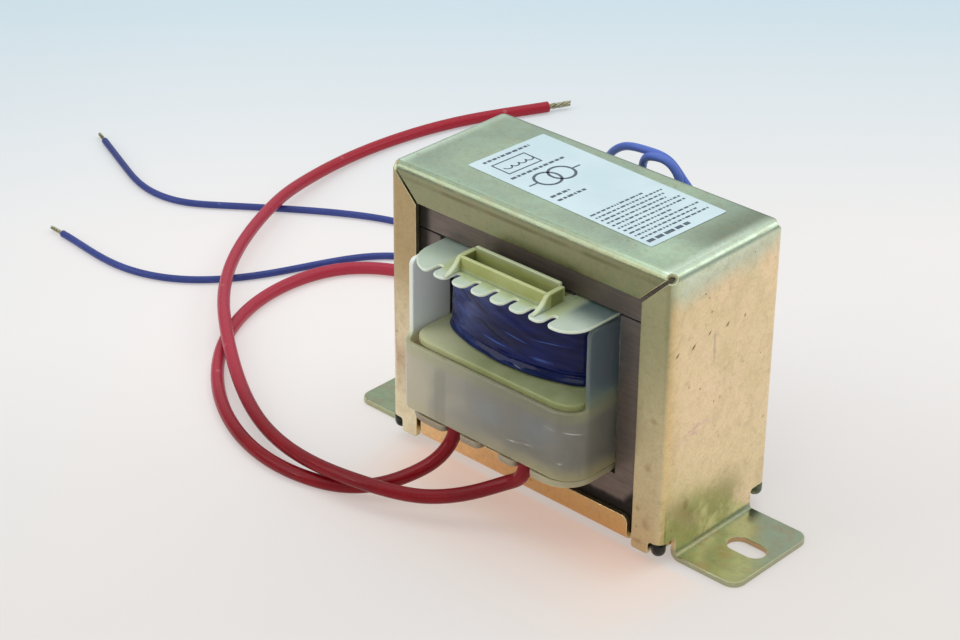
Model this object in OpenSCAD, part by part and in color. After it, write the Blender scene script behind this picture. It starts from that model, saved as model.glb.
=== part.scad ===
// Chassis-mount step-down transformer: a laminated E-I core held in a one-piece
// sheet-steel channel frame with slotted ears, a two-section bobbin and four
// flying leads that lie on the surface.
// Millimetres, +Z up, long side along X, bobbin front towards -Y.
// Origin: centre of the footprint, on the plane under the mounting ears.

/* [Core] */
// Width of the centre tongue; the other lamination sizes follow from it
tongue_w = 19; // [18.9:0.1:19.2]
// Thickness of the stack of laminations
stack_d = 25.2; // [24.8:0.1:25.3]
// Height of the underside of the core above the mounting plane
core_z = 3.5; // [3.2:0.1:3.8]

/* [Frame] */
// Thickness of the frame and base-plate sheet
sheet_t = 1; // [0.9:0.1:1]
// Outer radius of the frame's bends
bend_r = 1.5; // [1.2:0.1:1.6]
// Width of the turned-in flanges, measured from the outside
flange_w = 5.9; // [5:0.1:6.2]
// Gap at the mitred corners of the flanges
mitre_gap = 0.55; // [0.3:0.05:0.8]
// Radius of the open relief at the frame's upper corners
relief_r = 1.2; // [1:0.1:1.4]
// Height where the front and rear side flanges end
flange_end_z = 1.95; // [1.6:0.05:2.4]
// Height of the corner notches beside the lugs
notch_z = 4.3; // [4.2:0.1:4.6]

/* [Mounting ears] */
// Width of each ear
ear_w = 19.3; // [17:0.1:19.4]
// Distance from the side of the frame to the end of the ear
ear_reach = 12.1; // [11:0.1:15]
// Corner radius of the ears
ear_corner_r = 2.2; // [1:0.1:3]
// Inner radius of the bend from side wall to ear
ear_bend_r = 0.6; // [0.4:0.1:0.8]
// Distance between the centres of the two slots
slot_pitch = 72.6; // [72:0.1:73.4]
// Width of each slot
slot_w = 4; // [3.2:0.1:4.2]
// Length of each slot, end to end
slot_len = 7; // [5:0.1:7.4]

/* [Base plate] */
// Height of the plate's turned-up flanges
plate_flange_z = 6.9; // [5:0.1:7.4]
// Half length of the plate's flanges
plate_flange_x = 22.7; // [20:0.1:22.9]
// Diameter of the clinched corner lugs
lug_d = 2.4; // [2:0.1:2.4]

/* [Bobbin] */
// Thickness of the bobbin's middle and bottom flanges
bob_flange_t = 1.2; // [1:0.1:1.2]
// Thickness of the bobbin's top flange
top_flange_t = 0.5; // [0.4:0.1:0.8]
// Reach of the comb teeth from the middle
comb_y = 22.7; // [22:0.1:22.8]
// Half width of the comb flanges
comb_x = 18.25; // [18:0.05:18.3]
// Corner radius of the top flange's left lobes
lobe_left_r = 6.5; // [4:0.1:7]
// Corner radius of the top flange's right lobes
lobe_right_r = 4.3; // [4:0.1:7]
// Corner radius of the bottom flange's lobes
lobe_bottom_r = 5.5; // [4:0.1:6]
// Distance between two slots of the comb
comb_pitch = 4; // [3.9:0.1:4]
// Width of the plain slots of the comb
comb_slot = 1; // [0.6:0.1:1.2]
// Wall thickness of the wire troughs
trough_t = 0.7; // [0.6:0.1:0.9]
// Height of the troughs above the comb flange
trough_h = 3; // [2.4:0.1:3.8]
// Wall thickness of the winding covers
cover_t = 0.9; // [0.7:0.1:0.9]

/* [Label] */
// Length of the sticker
label_l = 39.6; // [30:0.1:44]
// Width of the sticker
label_w = 17.4; // [12:0.1:20]
// Turn of the sticker on the top face, in degrees
label_turn = -2.4; // [-4:0.1:4]

/* [Leads] */
// Diameter of the two red leads
red_d = 2.4; // [2:0.1:2.4]
// Diameter of the two blue leads
blue_d = 1.4; // [1.2:0.1:1.4]
// Length of bare strands on the red leads
red_strip = 5.6; // [4:0.1:8]
// Length of bare strands on the blue leads
blue_strip = 4; // [3:0.1:6]

/* [Hidden] */
$fn = 64;

// core
core_hx = 1.5 * tongue_w;              // half length of the lamination
yoke = tongue_w / 2;                   // yoke and outer leg width
core_hy = stack_d / 2;
window_z0 = core_z + yoke;             // floor of the winding window
joint_z = window_z0 + 1.5 * tongue_w;  // where the E and I laminations meet
core_top = joint_z + yoke;
// frame
frame_hx = core_hx + sheet_t;
frame_hy = core_hy + sheet_t;
frame_top = core_top + sheet_t;
win_x = frame_hx - flange_w;           // half width of the open front
win_z = frame_top - flange_w;          // top of the open front
ear_x = frame_hx + ear_reach;
ear_bend_x = frame_hx + ear_bend_r;    // axis of the ear bend
ear_bend_z = sheet_t + ear_bend_r;
// bobbin levels
bot_z = window_z0 + 0.1;
bot_top = bot_z + bob_flange_t;
top_z1 = joint_z - 0.2;
top_z0 = top_z1 - top_flange_t;
mid_z0 = 26.4;
mid_top = mid_z0 + bob_flange_t;
tube_x = yoke + 0.1;                   // bore half size, a running fit on the tongue
tube_y = core_hy + 0.1;
tube_t = 0.8;
comb_root = 20;                        // centre of the round slot roots
cover_y = 22.5;
cover_r = 4.7;                         // right front corner
cover_rl = 2.2;                        // left front corner, folded tighter
cover_x = yoke * 2 - 0.5;              // covers stand just clear of the legs of the core
cover_z0 = bot_top + 0.2;
cover_z1 = 26.6;
wing_y = 18.9;                         // front edge of the right wing
wing_yl = 20.4;                        // and of the left one
wing_z = top_z0 - 0.25;
wing_r = 1.2;

// comb slots as [centre, width]; wide ones pass a lead
top_slots = [for (i = [-3:3]) [i * comb_pitch, comb_slot]];
top_rear_slots = [for (i = [-3:3]) i == 1 ? [4, 1.8] : i == 2 ? [7.7, 1.8] : [i * comb_pitch, comb_slot]];
bot_front_slots = [[-7.1, 3], [0.85, 3.7], [8.1, 2.8]];
slot_root_r = 0.9;                     // largest corner radius at the root of a slot

// lead routes, from the exit to the end of the insulation
red_1_route = [
  [-7.2, -21.2, 14.3], [-7.5, -21.5, 12.5], [-8, -22.5, 10.5], [-9.5, -24, 8],
  [-12.5, -26, 5.5], [-16, -28.5, 3], [-20.5, -31.5, 1.5], [-26.5, -34.5, 1.3],
  [-37, -35, 1.3], [-49, -32, 1.3], [-60, -25.5, 1.3], [-70.5, -16, 1.3],
  [-77.5, -4.5, 1.3], [-80.5, 9, 1.3], [-77.5, 22.5, 1.3], [-66.5, 29.5, 1.3],
  [-49, 29.5, 1.3], [-26, 26, 1.3], [0, 25.5, 1.3], [14, 23.5, 1.3]];
red_2_route = [
  [8.2, -21.2, 14.3], [8, -21.5, 13], [7, -21.5, 11], [5, -22, 9.5],
  [1.5, -24, 7.5], [-2.5, -27, 5.5], [-8.5, -30, 4.5], [-16, -32, 4.5],
  [-26, -34, 4], [-37, -32, 3], [-51, -26, 2], [-65, -18, 3],
  [-75, -11, 4], [-85, -2, 3], [-92, 5.5, 3], [-99.5, 17, 2.5],
  [-105, 30.5, 3], [-110, 43, 2], [-112, 57, 1.3], [-112, 73.5, 1.3],
  [-107.5, 89, 1.3], [-100, 105.5, 1.3]];
blue_1_route = [
  [7.7, 20.8, 40.8], [7.5, 21, 43], [6, 21.5, 44.5], [2.5, 22, 47],
  [0, 22, 49], [-5, 22, 49.5], [-10, 22.5, 48.5], [-14, 23.5, 45.5],
  [-17.5, 25.5, 39.5], [-20, 28.5, 30], [-23, 32.5, 19], [-27, 37.5, 9],
  [-34, 42.5, 2], [-45, 45, 0.8], [-65, 45, 0.8], [-85.5, 44, 0.8],
  [-95.5, 38, 0.8], [-106, 31.5, 0.8], [-115.5, 25, 0.8], [-122, 19, 0.8],
  [-132, 18, 0.8], [-143, 22, 0.8], [-156.5, 27.5, 0.8]];
blue_2_route = [
  [4, 20.7, 40.8], [4, 20.5, 43], [4, 20, 46], [3, 20, 48.5],
  [1, 20, 50], [-2, 20, 50], [-4, 20.5, 49], [-5.5, 21.5, 46],
  [-6.5, 22.5, 41], [-8.5, 25, 31], [-11.5, 28.5, 19], [-16, 32.5, 8.5],
  [-23.5, 36, 2], [-35, 38, 0.8], [-53, 38, 0.8], [-69, 36.5, 0.8],
  [-77.5, 31, 0.8], [-82, 21, 0.8], [-86.5, 11, 0.8], [-92.5, 2, 0.8],
  [-99, -4.5, 0.8], [-109, -7, 0.8], [-128.5, -6, 0.8]];

// colours
zinc = [0.62, 0.61, 0.43];
steel = [0.40, 0.37, 0.35];
nylon = [0.80, 0.84, 0.78];
pale = [0.82, 0.80, 0.74];
navy = [0.11, 0.13, 0.31];
red = [0.60, 0.13, 0.18];
blue = [0.27, 0.33, 0.55];
copper = [0.55, 0.53, 0.45];

// ---- helpers ----

// rectangle centred on the origin with four true round corners
module round_rect(w, h, r) {
  square([w - 2 * r, h], center = true);
  square([w, h - 2 * r], center = true);
  for (sx = [-1, 1], sy = [-1, 1])
    translate([sx * (w / 2 - r), sy * (h / 2 - r)]) circle(r);
}

// box from lo to hi
module box(lo, hi) {
  translate(lo) cube(hi - lo);
}

module both_x() { children(); mirror([1, 0, 0]) children(); }
module both_y() { children(); mirror([0, 1, 0]) children(); }

function unit(v) = v / norm(v);
// directions along a route: the end ones follow their own segment
function route_dirs(p) = let(n = len(p)) [for (i = [0:n - 1])
  i == 0 ? unit(p[1] - p[0]) : i == n - 1 ? unit(p[n - 1] - p[n - 2])
  : unit(unit(p[i] - p[i - 1]) + unit(p[i + 1] - p[i]))];
// one normal per ring, each carried over from the ring before
function carry(t, i, m, acc) = i == len(t) ? acc
  : let(q = unit(m - (m * t[i]) * t[i])) carry(t, i + 1, q, concat(acc, [q]));

// round tube of eight sides swept along a route
module cord(p, d) {
  n = len(p);
  t = route_dirs(p);
  m = carry(t, 0, [0, 1, 0], []);
  pts = [for (i = [0:n - 1]) let(b = cross(t[i], m[i])) for (k = [0:7])
    p[i] + d / 2 * (cos(45 * k + 22.5) * m[i] + sin(45 * k + 22.5) * b)];
  sides = [for (i = [0:n - 2], k = [0:7]) let(a = 8 * i + k, b = 8 * i + (k + 1) % 8)
    each [[a, a + 8, b], [b, a + 8, b + 8]]];
  caps = [[for (k = [0:7]) k], [for (k = [7:-1:0]) 8 * (n - 1) + k]];
  polyhedron(points = pts, faces = concat(sides, caps), convexity = 10);
}

// bare strands that continue a route in a straight line
module strands(p, d, l) {
  e = p[len(p) - 1];
  u = unit(e - p[len(p) - 2]);
  translate(e) rotate([0, acos(u[2]), atan2(u[1], u[0])]) cylinder(d = d, h = l);
}

// ---- frame ----

// sheet shell around the top and sides of the core, open at the front and back
module frame_shell() {
  difference() {
    intersection() {
      translate([0, frame_hy, 0]) rotate([90, 0, 0]) linear_extrude(2 * frame_hy)
        translate([0, frame_top / 2]) union() {
          translate([0, -bend_r / 2]) square([2 * frame_hx, frame_top - bend_r], center = true);
          square([2 * (frame_hx - bend_r), frame_top], center = true);
          for (s = [-1, 1]) translate([s * (frame_hx - bend_r), frame_top / 2 - bend_r]) circle(bend_r);
        }
      translate([-frame_hx, 0, 0]) rotate([90, 0, 90]) linear_extrude(2 * frame_hx)
        translate([0, frame_top / 2]) union() {
          translate([0, -bend_r / 2]) square([2 * frame_hy, frame_top - bend_r], center = true);
          square([2 * (frame_hy - bend_r), frame_top], center = true);
          for (s = [-1, 1]) translate([s * (frame_hy - bend_r), frame_top / 2 - bend_r]) circle(bend_r);
        }
      linear_extrude(frame_top) round_rect(2 * frame_hx, 2 * frame_hy, bend_r);
    }
    // space for the core
    box([-core_hx, -core_hy, -1], [core_hx, core_hy, core_top]);
    // open front and back
    box([-win_x, -frame_hy - 1, -1], [win_x, frame_hy + 1, win_z]);
    // lower edge, cut back beside the ears and higher at the corner lugs
    box([-frame_hx - 1, -frame_hy - 1, -1], [frame_hx + 1, frame_hy + 1, flange_end_z]);
    both_x() box([27, -frame_hy - 1, 0], [frame_hx + 1, frame_hy + 1, notch_z]);
    // mitred flange corners
    both_x() for (s = [-1, 1])
      translate([win_x, s * (core_hy + 1), win_z]) rotate([0, 45, 0])
        cube([mitre_gap, 2, 20], center = true);
    both_x() for (s = [-1, 1])
      translate([frame_hx - 0.5, s * (frame_hy - 0.3), frame_top - 0.5]) sphere(relief_r);
  }
}

// one side's ear: the side wall carried down, a bend and the slotted foot
module frame_ear() {
  hw = ear_w / 2;
  box([core_hx, -hw, ear_bend_z], [frame_hx, hw, notch_z + 0.5]);
  translate([0, hw, 0]) rotate([90, 0, 0]) linear_extrude(ear_w)
    intersection() {
      translate([ear_bend_x, ear_bend_z]) difference() {
        circle(ear_bend_r + sheet_t);
        circle(ear_bend_r);
      }
      translate([core_hx - 1, -1]) square([ear_bend_x - core_hx + 1, ear_bend_z + 1]);
    }
  linear_extrude(sheet_t) difference() {
    union() {
      translate([ear_bend_x, -hw]) square([ear_x - ear_corner_r - ear_bend_x, ear_w]);
      translate([ear_x - ear_corner_r, -hw + ear_corner_r]) square([ear_corner_r, ear_w - 2 * ear_corner_r]);
      for (s = [-1, 1]) translate([ear_x - ear_corner_r, s * (hw - ear_corner_r)]) circle(ear_corner_r);
    }
    translate([slot_pitch / 2, 0]) {
      square([slot_len - slot_w, slot_w], center = true);
      for (s = [-1, 1]) translate([s * (slot_len - slot_w) / 2, 0]) circle(d = slot_w);
    }
  }
}

module frame_channel() {
  color(zinc) union() {
    frame_shell();
    frame_ear();
    mirror([1, 0, 0]) frame_ear();
  }
}

// shallow tray under the core, its two long flanges turned up over the yoke
module base_plate() {
  z0 = core_z - sheet_t;
  color(zinc) {
    box([-plate_flange_x, -core_hy, z0], [plate_flange_x, core_hy, core_z]);
    both_x() {
      box([plate_flange_x, -core_hy + 0.1, z0], [26.9, core_hy - 0.1, core_z]);
      box([26.9, -10.9, z0], [core_hx - 0.1, 10.9, core_z]);
    }
    // flanges with a rounded lower bend and rounded upper corners
    both_y() intersection() {
      translate([-plate_flange_x, 0, 0]) rotate([90, 0, 90]) linear_extrude(2 * plate_flange_x)
        union() {
          translate([-frame_hy, z0 + 1.2]) square([sheet_t, plate_flange_z - z0 - 1.2]);
          intersection() {
            translate([-frame_hy + 1.2, z0 + 1.2]) circle(1.2);
            translate([-frame_hy, z0]) square([sheet_t, 1.2]);
          }
        }
      translate([0, 0, 0]) rotate([90, 0, 0]) linear_extrude(30)
        translate([0, plate_flange_z / 2]) union() {
          translate([0, -1]) square([2 * plate_flange_x, plate_flange_z - 2], center = true);
          square([2 * (plate_flange_x - 1.3), plate_flange_z], center = true);
          for (s = [-1, 1]) translate([s * (plate_flange_x - 1.3), plate_flange_z / 2 - 1.3]) circle(1.3);
        }
    }
  }
}

// domed corner lug of the base plate, folded up around the corner of the core
module clinch_lug(sx, sy) {
  r = lug_d / 2;
  color(zinc) mirror([sx < 0 ? 1 : 0, 0, 0]) mirror([0, sy < 0 ? 1 : 0, 0]) difference() {
    union() {
      translate([28.25, 12.35, 1.9 + r]) cylinder(r = r, h = 4.2 - 1.9 - r);
      translate([28.25, 12.35, 1.9 + r]) sphere(r);
      box([26.9, 11.3, core_z - sheet_t], [28.25, 12.3, core_z]);
    }
    box([0, 0, core_z], [core_hx, core_hy, 10]);
  }
}

// ---- core ----

module core_e_stack() {
  color(steel) translate([0, core_hy, 0]) rotate([90, 0, 0]) linear_extrude(stack_d) {
    translate([-core_hx, core_z]) square([2 * core_hx, yoke]);
    translate([-yoke, core_z]) square([tongue_w, joint_z - core_z]);
    for (s = [-1, 1]) translate([s * (core_hx - yoke / 2), (core_z + joint_z) / 2])
      square([yoke, joint_z - core_z], center = true);
  }
}

module core_i_stack() {
  color(steel) box([-core_hx, -core_hy, joint_z], [core_hx, core_hy, core_top]);
}

// ---- bobbin ----

module tube_2d(grow) {
  square([2 * (tube_x + grow), 2 * (tube_y + grow)], center = true);
}

module bobbin_tube() {
  color(nylon) translate([0, 0, bot_z]) linear_extrude(top_z1 - bot_z)
    difference() { tube_2d(tube_t); tube_2d(0); }
}

// one comb tooth between x0 and x1 with a round tip towards -Y
module tooth(x0, x1) {
  r = min(1.2, (x1 - x0) / 2 - 0.01);
  translate([x0, -comb_y + r]) square([x1 - x0, comb_y - comb_root - r + 0.5]);
  translate([x0 + r, -comb_y]) square([x1 - x0 - 2 * r, r + 0.1]);
  translate([x0 + r, -comb_y + r]) circle(r);
  translate([x1 - r, -comb_y + r]) circle(r);
}

// a slot's round-cornered root, open towards -Y
module slot_root(c, w) {
  r = min(w / 2, slot_root_r);
  translate([c - w / 2, -comb_root - 1]) square([w, 1]);
  if (w > 2 * slot_root_r) {
    translate([c - w / 2 + r, -comb_root - 1]) square([w - 2 * r, 1 + r]);
    for (s = [-1, 1]) translate([c + s * (w / 2 - r), -comb_root]) circle(r);
  } else {
    translate([c, -comb_root]) circle(r);
  }
}

// one long edge of a comb flange: teeth between the slots and a round lobe at each end
module comb_edge(slots, rl, rr) {
  n = len(slots);
  xl = slots[0][0] - slots[0][1] / 2;
  xr = slots[n - 1][0] + slots[n - 1][1] / 2;
  translate([-comb_x, -comb_root + 4]) square([2 * comb_x, comb_root - 4]);
  difference() {
    translate([xl - 0.5, -comb_root - 0.3]) square([xr - xl + 1, 5]);
    for (s = slots) slot_root(s[0], s[1]);
  }
  for (i = [0:n - 2])
    tooth(slots[i][0] + slots[i][1] / 2, slots[i + 1][0] - slots[i + 1][1] / 2);
  lobe(xr, rr);
  mirror([1, 0]) lobe(-xl, rl);
}

// round lobe at the right-hand end of a comb edge, from x0 outwards
module lobe(x0, r) {
  q = 1.1;
  intersection() {
    union() {
      translate([comb_x - r, -comb_y + r]) circle(r);
      translate([x0 - 1, -comb_y]) square([comb_x - r - x0 + 1, r]);
      translate([x0 - 1, -comb_y + r]) square([comb_x - x0 + 1, 9 - r]);
    }
    union() {
      translate([x0, -comb_y + q]) square([comb_x - x0 + 1, 7.2 - q]);
      translate([x0 + q, -comb_y - 1]) square([comb_x - x0, 4]);
      translate([x0 + q, -comb_y + q]) circle(q);
    }
  }
}

module comb_flange(z, t, front, rear, rl, rr) {
  color(nylon) translate([0, 0, z]) linear_extrude(t) difference() {
    union() {
      comb_edge(front, rl, rr);
      mirror([0, 1]) comb_edge(rear, rl, rr);
    }
    tube_2d(tube_t);
  }
}

module top_comb_flange() {
  comb_flange(top_z0, top_flange_t, top_slots, top_rear_slots, lobe_left_r, lobe_right_r);
}
module bottom_comb_flange() {
  comb_flange(bot_z, bob_flange_t, bot_front_slots, top_slots, lobe_bottom_r, lobe_bottom_r);
}

module mid_flange() {
  color(nylon) translate([0, 0, mid_z0]) linear_extrude(bob_flange_t) difference() {
    round_rect(35, 42.9, 4);
    tube_2d(tube_t);
  }
}

// open tray for the wire ends, with nosed end walls on the comb's teeth
module wire_trough() {
  y0 = -18.9;
  y1 = -14.8;
  color(nylon) {
    box([-8.6, y0, top_z1], [9, y0 + trough_t, top_z1 + trough_h - 0.5]);
    box([-8.6, y1 - trough_t, top_z1], [9, y1, top_z1 + trough_h]);
    for (x = [-9.4, 8.9]) translate([x, 0, 0]) rotate([90, 0, 90]) linear_extrude(0.9)
      polygon([[-22.2, top_z1], [y1 - 0.2, top_z1], [y1 - 0.2, top_z1 + trough_h - 0.5], [y0, top_z1 + trough_h - 0.5],
               [-19.4, top_z1 + 1.9], [-20, top_z1 + 1.2], [-20.8, top_z1 + 0.6], [-22.2, top_z1 + 0.2]]);
  }
}

module front_wire_trough() { wire_trough(); }
module rear_wire_trough() { mirror([0, 1, 0]) wire_trough(); }

// ---- windings ----

// mains winding under the covers; pads over the two lead joints at the front
module lower_winding() {
  color(pale) difference() {
    union() {
      translate([0, 0, bot_top]) linear_extrude(mid_z0 - bot_top) round_rect(34, 40, 5);
      for (x = [-7.2, 8.2])
        box([x - 1.3, -21.5, bot_top], [x + 1.3, -19, bot_top + 9]);
    }
    translate([0, 0, bot_top - 1]) linear_extrude(20) tube_2d(tube_t);
  }
}

// low-voltage winding wrapped in tape, bulging at the front and back; the leads
// come out of a taped pad at the rear
module upper_winding_tape() {
  color(navy) difference() {
    union() {
      translate([0, 0, mid_top]) linear_extrude(top_z0 - mid_top) intersection() {
        square([31.2, 40], center = true);
        translate([0, 15.3]) circle(34);
        translate([0, -15.3]) circle(34);
      }
      translate([2.6, 0, 0]) rotate([90, 0, 90]) linear_extrude(6.6)
        polygon([[15, 32], [17.9, 32], [21.5, 38.6], [21.5, top_z0], [15, top_z0]]);
    }
    translate([0, 0, mid_top - 1]) linear_extrude(20) tube_2d(tube_t);
  }
}

// wrap-round cover of the lower winding with two tall side wings
module winding_cover() {
  color([0.72, 0.74, 0.70]) intersection() {
    translate([0, 0, cover_z0]) linear_extrude(wing_z - cover_z0) cover_2d();
    union() {
      box([-cover_x - 1, -cover_y - 1, cover_z0 - 1], [cover_x + 1, -core_hy + 2, cover_z1]);
      wing_band(-cover_x - 1, wing_yl);
      wing_band(cover_x - 4, wing_y);
    }
  }
}

// band 5 wide from x that keeps a wing behind its rounded front edge
module wing_band(x, y) {
  translate([x, 0, 0]) rotate([90, 0, 90]) linear_extrude(5) {
    translate([-y, cover_z1 - 1]) square([y - core_hy + 2, wing_z - wing_r - cover_z1 + 1]);
    translate([-y + wing_r, cover_z1]) square([y - core_hy + 2 - wing_r, wing_z - cover_z1 + 1]);
    translate([-y + wing_r, wing_z - wing_r]) circle(wing_r);
  }
}

module cover_2d() {
  difference() {
    cover_outline(0, -core_hy + 1);
    cover_outline(cover_t, 10);
  }
}

// outline of the cover's sheet, drawn in by o and open at y = back
module cover_outline(o, back) {
  x = cover_x - o;
  y = cover_y - o;
  rl = cover_rl - o;
  rr = cover_r - o;
  translate([-x, -y + rl]) square([x + 2, back + y - rl]);
  translate([-x + rl, -y]) square([x - rl + 2, back + y]);
  translate([-x + rl, -y + rl]) circle(rl);
  translate([-2, -y + rr]) square([x + 2, back + y - rr]);
  translate([-2, -y]) square([x - rr + 2, back + y]);
  translate([x - rr, -y + rr]) circle(rr);
}

module front_cover() { winding_cover(); }
module rear_cover() { mirror([0, 1, 0]) winding_cover(); }

// ---- label and leads ----

module label() {
  color([0.93, 0.95, 0.97]) translate([1.4, 1.25, frame_top]) rotate(label_turn)
    translate([-label_l / 2, -label_w / 2, 0]) cube([label_l, label_w, 0.12]);
}

module lead_red_1() { color(red) cord(red_1_route, red_d); }
module lead_red_2() { color(red) cord(red_2_route, red_d); }
module lead_blue_1() { color(blue) cord(blue_1_route, blue_d); }
module lead_blue_2() { color(blue) cord(blue_2_route, blue_d); }
module stripped_end_red_1() { color(copper) strands(red_1_route, 1.3, red_strip); }
module stripped_end_red_2() { color(copper) strands(red_2_route, 1.3, red_strip); }
module stripped_end_blue_1() { color(copper) strands(blue_1_route, 0.8, blue_strip); }
module stripped_end_blue_2() { color(copper) strands(blue_2_route, 0.8, blue_strip); }

frame_channel();
base_plate();
clinch_lug(-1, -1);  // clinch_lug_front_left
clinch_lug(1, -1);  // clinch_lug_front_right
clinch_lug(-1, 1);  // clinch_lug_back_left
clinch_lug(1, 1);  // clinch_lug_back_right
core_e_stack();
core_i_stack();
bobbin_tube();
top_comb_flange();
front_wire_trough();
rear_wire_trough();
mid_flange();
bottom_comb_flange();
lower_winding();
upper_winding_tape();
front_cover();
rear_cover();
label();
lead_red_1();
lead_red_2();
lead_blue_1();
lead_blue_2();
stripped_end_red_1();
stripped_end_red_2();
stripped_end_blue_1();
stripped_end_blue_2();
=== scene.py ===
"""Looks of a chassis-mount step-down transformer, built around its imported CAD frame.
Lengths in the code are millimetres and become metres when a mesh is made."""
import math
import random

import bpy
import bmesh
from mathutils import Matrix, Vector, noise
from mathutils.geometry import delaunay_2d_cdt


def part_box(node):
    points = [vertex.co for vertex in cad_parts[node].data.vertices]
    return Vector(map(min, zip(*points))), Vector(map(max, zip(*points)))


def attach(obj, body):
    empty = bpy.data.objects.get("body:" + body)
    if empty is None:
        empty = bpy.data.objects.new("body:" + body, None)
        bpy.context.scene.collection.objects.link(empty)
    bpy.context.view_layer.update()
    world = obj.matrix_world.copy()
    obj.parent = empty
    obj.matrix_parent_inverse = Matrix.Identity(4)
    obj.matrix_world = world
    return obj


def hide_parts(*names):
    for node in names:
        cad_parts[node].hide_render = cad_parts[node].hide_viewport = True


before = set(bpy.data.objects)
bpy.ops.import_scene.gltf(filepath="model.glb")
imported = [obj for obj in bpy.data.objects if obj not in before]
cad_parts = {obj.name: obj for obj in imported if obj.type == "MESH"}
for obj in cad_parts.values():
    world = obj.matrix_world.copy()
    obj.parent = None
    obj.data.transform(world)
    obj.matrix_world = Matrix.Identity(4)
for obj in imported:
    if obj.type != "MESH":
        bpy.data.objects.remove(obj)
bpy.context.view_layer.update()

MM = 0.001
rng = random.Random(57)

# ---------------------------------------------------------------- camera

def add_camera():
    az, el, roll = math.radians(42.847), math.radians(28.917), math.radians(0.539)
    back = Vector((math.sin(az) * math.cos(el), -math.cos(az) * math.cos(el), math.sin(el)))
    right = Vector((math.cos(az), math.sin(az), 0))
    up = back.cross(right)
    x = right * math.cos(roll) + up * math.sin(roll)
    y = back.cross(x)
    cam = bpy.data.cameras.new("camera")
    cam.sensor_width = 36
    cam.lens = 92.21
    cam.clip_start, cam.clip_end = 0.01, 20
    o = bpy.data.objects.new("camera", cam)
    bpy.context.scene.collection.objects.link(o)
    o.matrix_world = Matrix.Translation((0.22538, -0.26652, 0.2207)) @ Matrix((x, y, back)).transposed().to_4x4()
    bpy.context.scene.camera = o
    return o


add_camera()

# ---------------------------------------------------------------- node materials

def lin(r, g, b):
    """sRGB 0-255 to a linear colour."""
    out = []
    for v in (r, g, b):
        v /= 255
        out.append(v / 12.92 if v <= 0.04045 else ((v + 0.055) / 1.055) ** 2.4)
    return (*out, 1.0)


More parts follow.
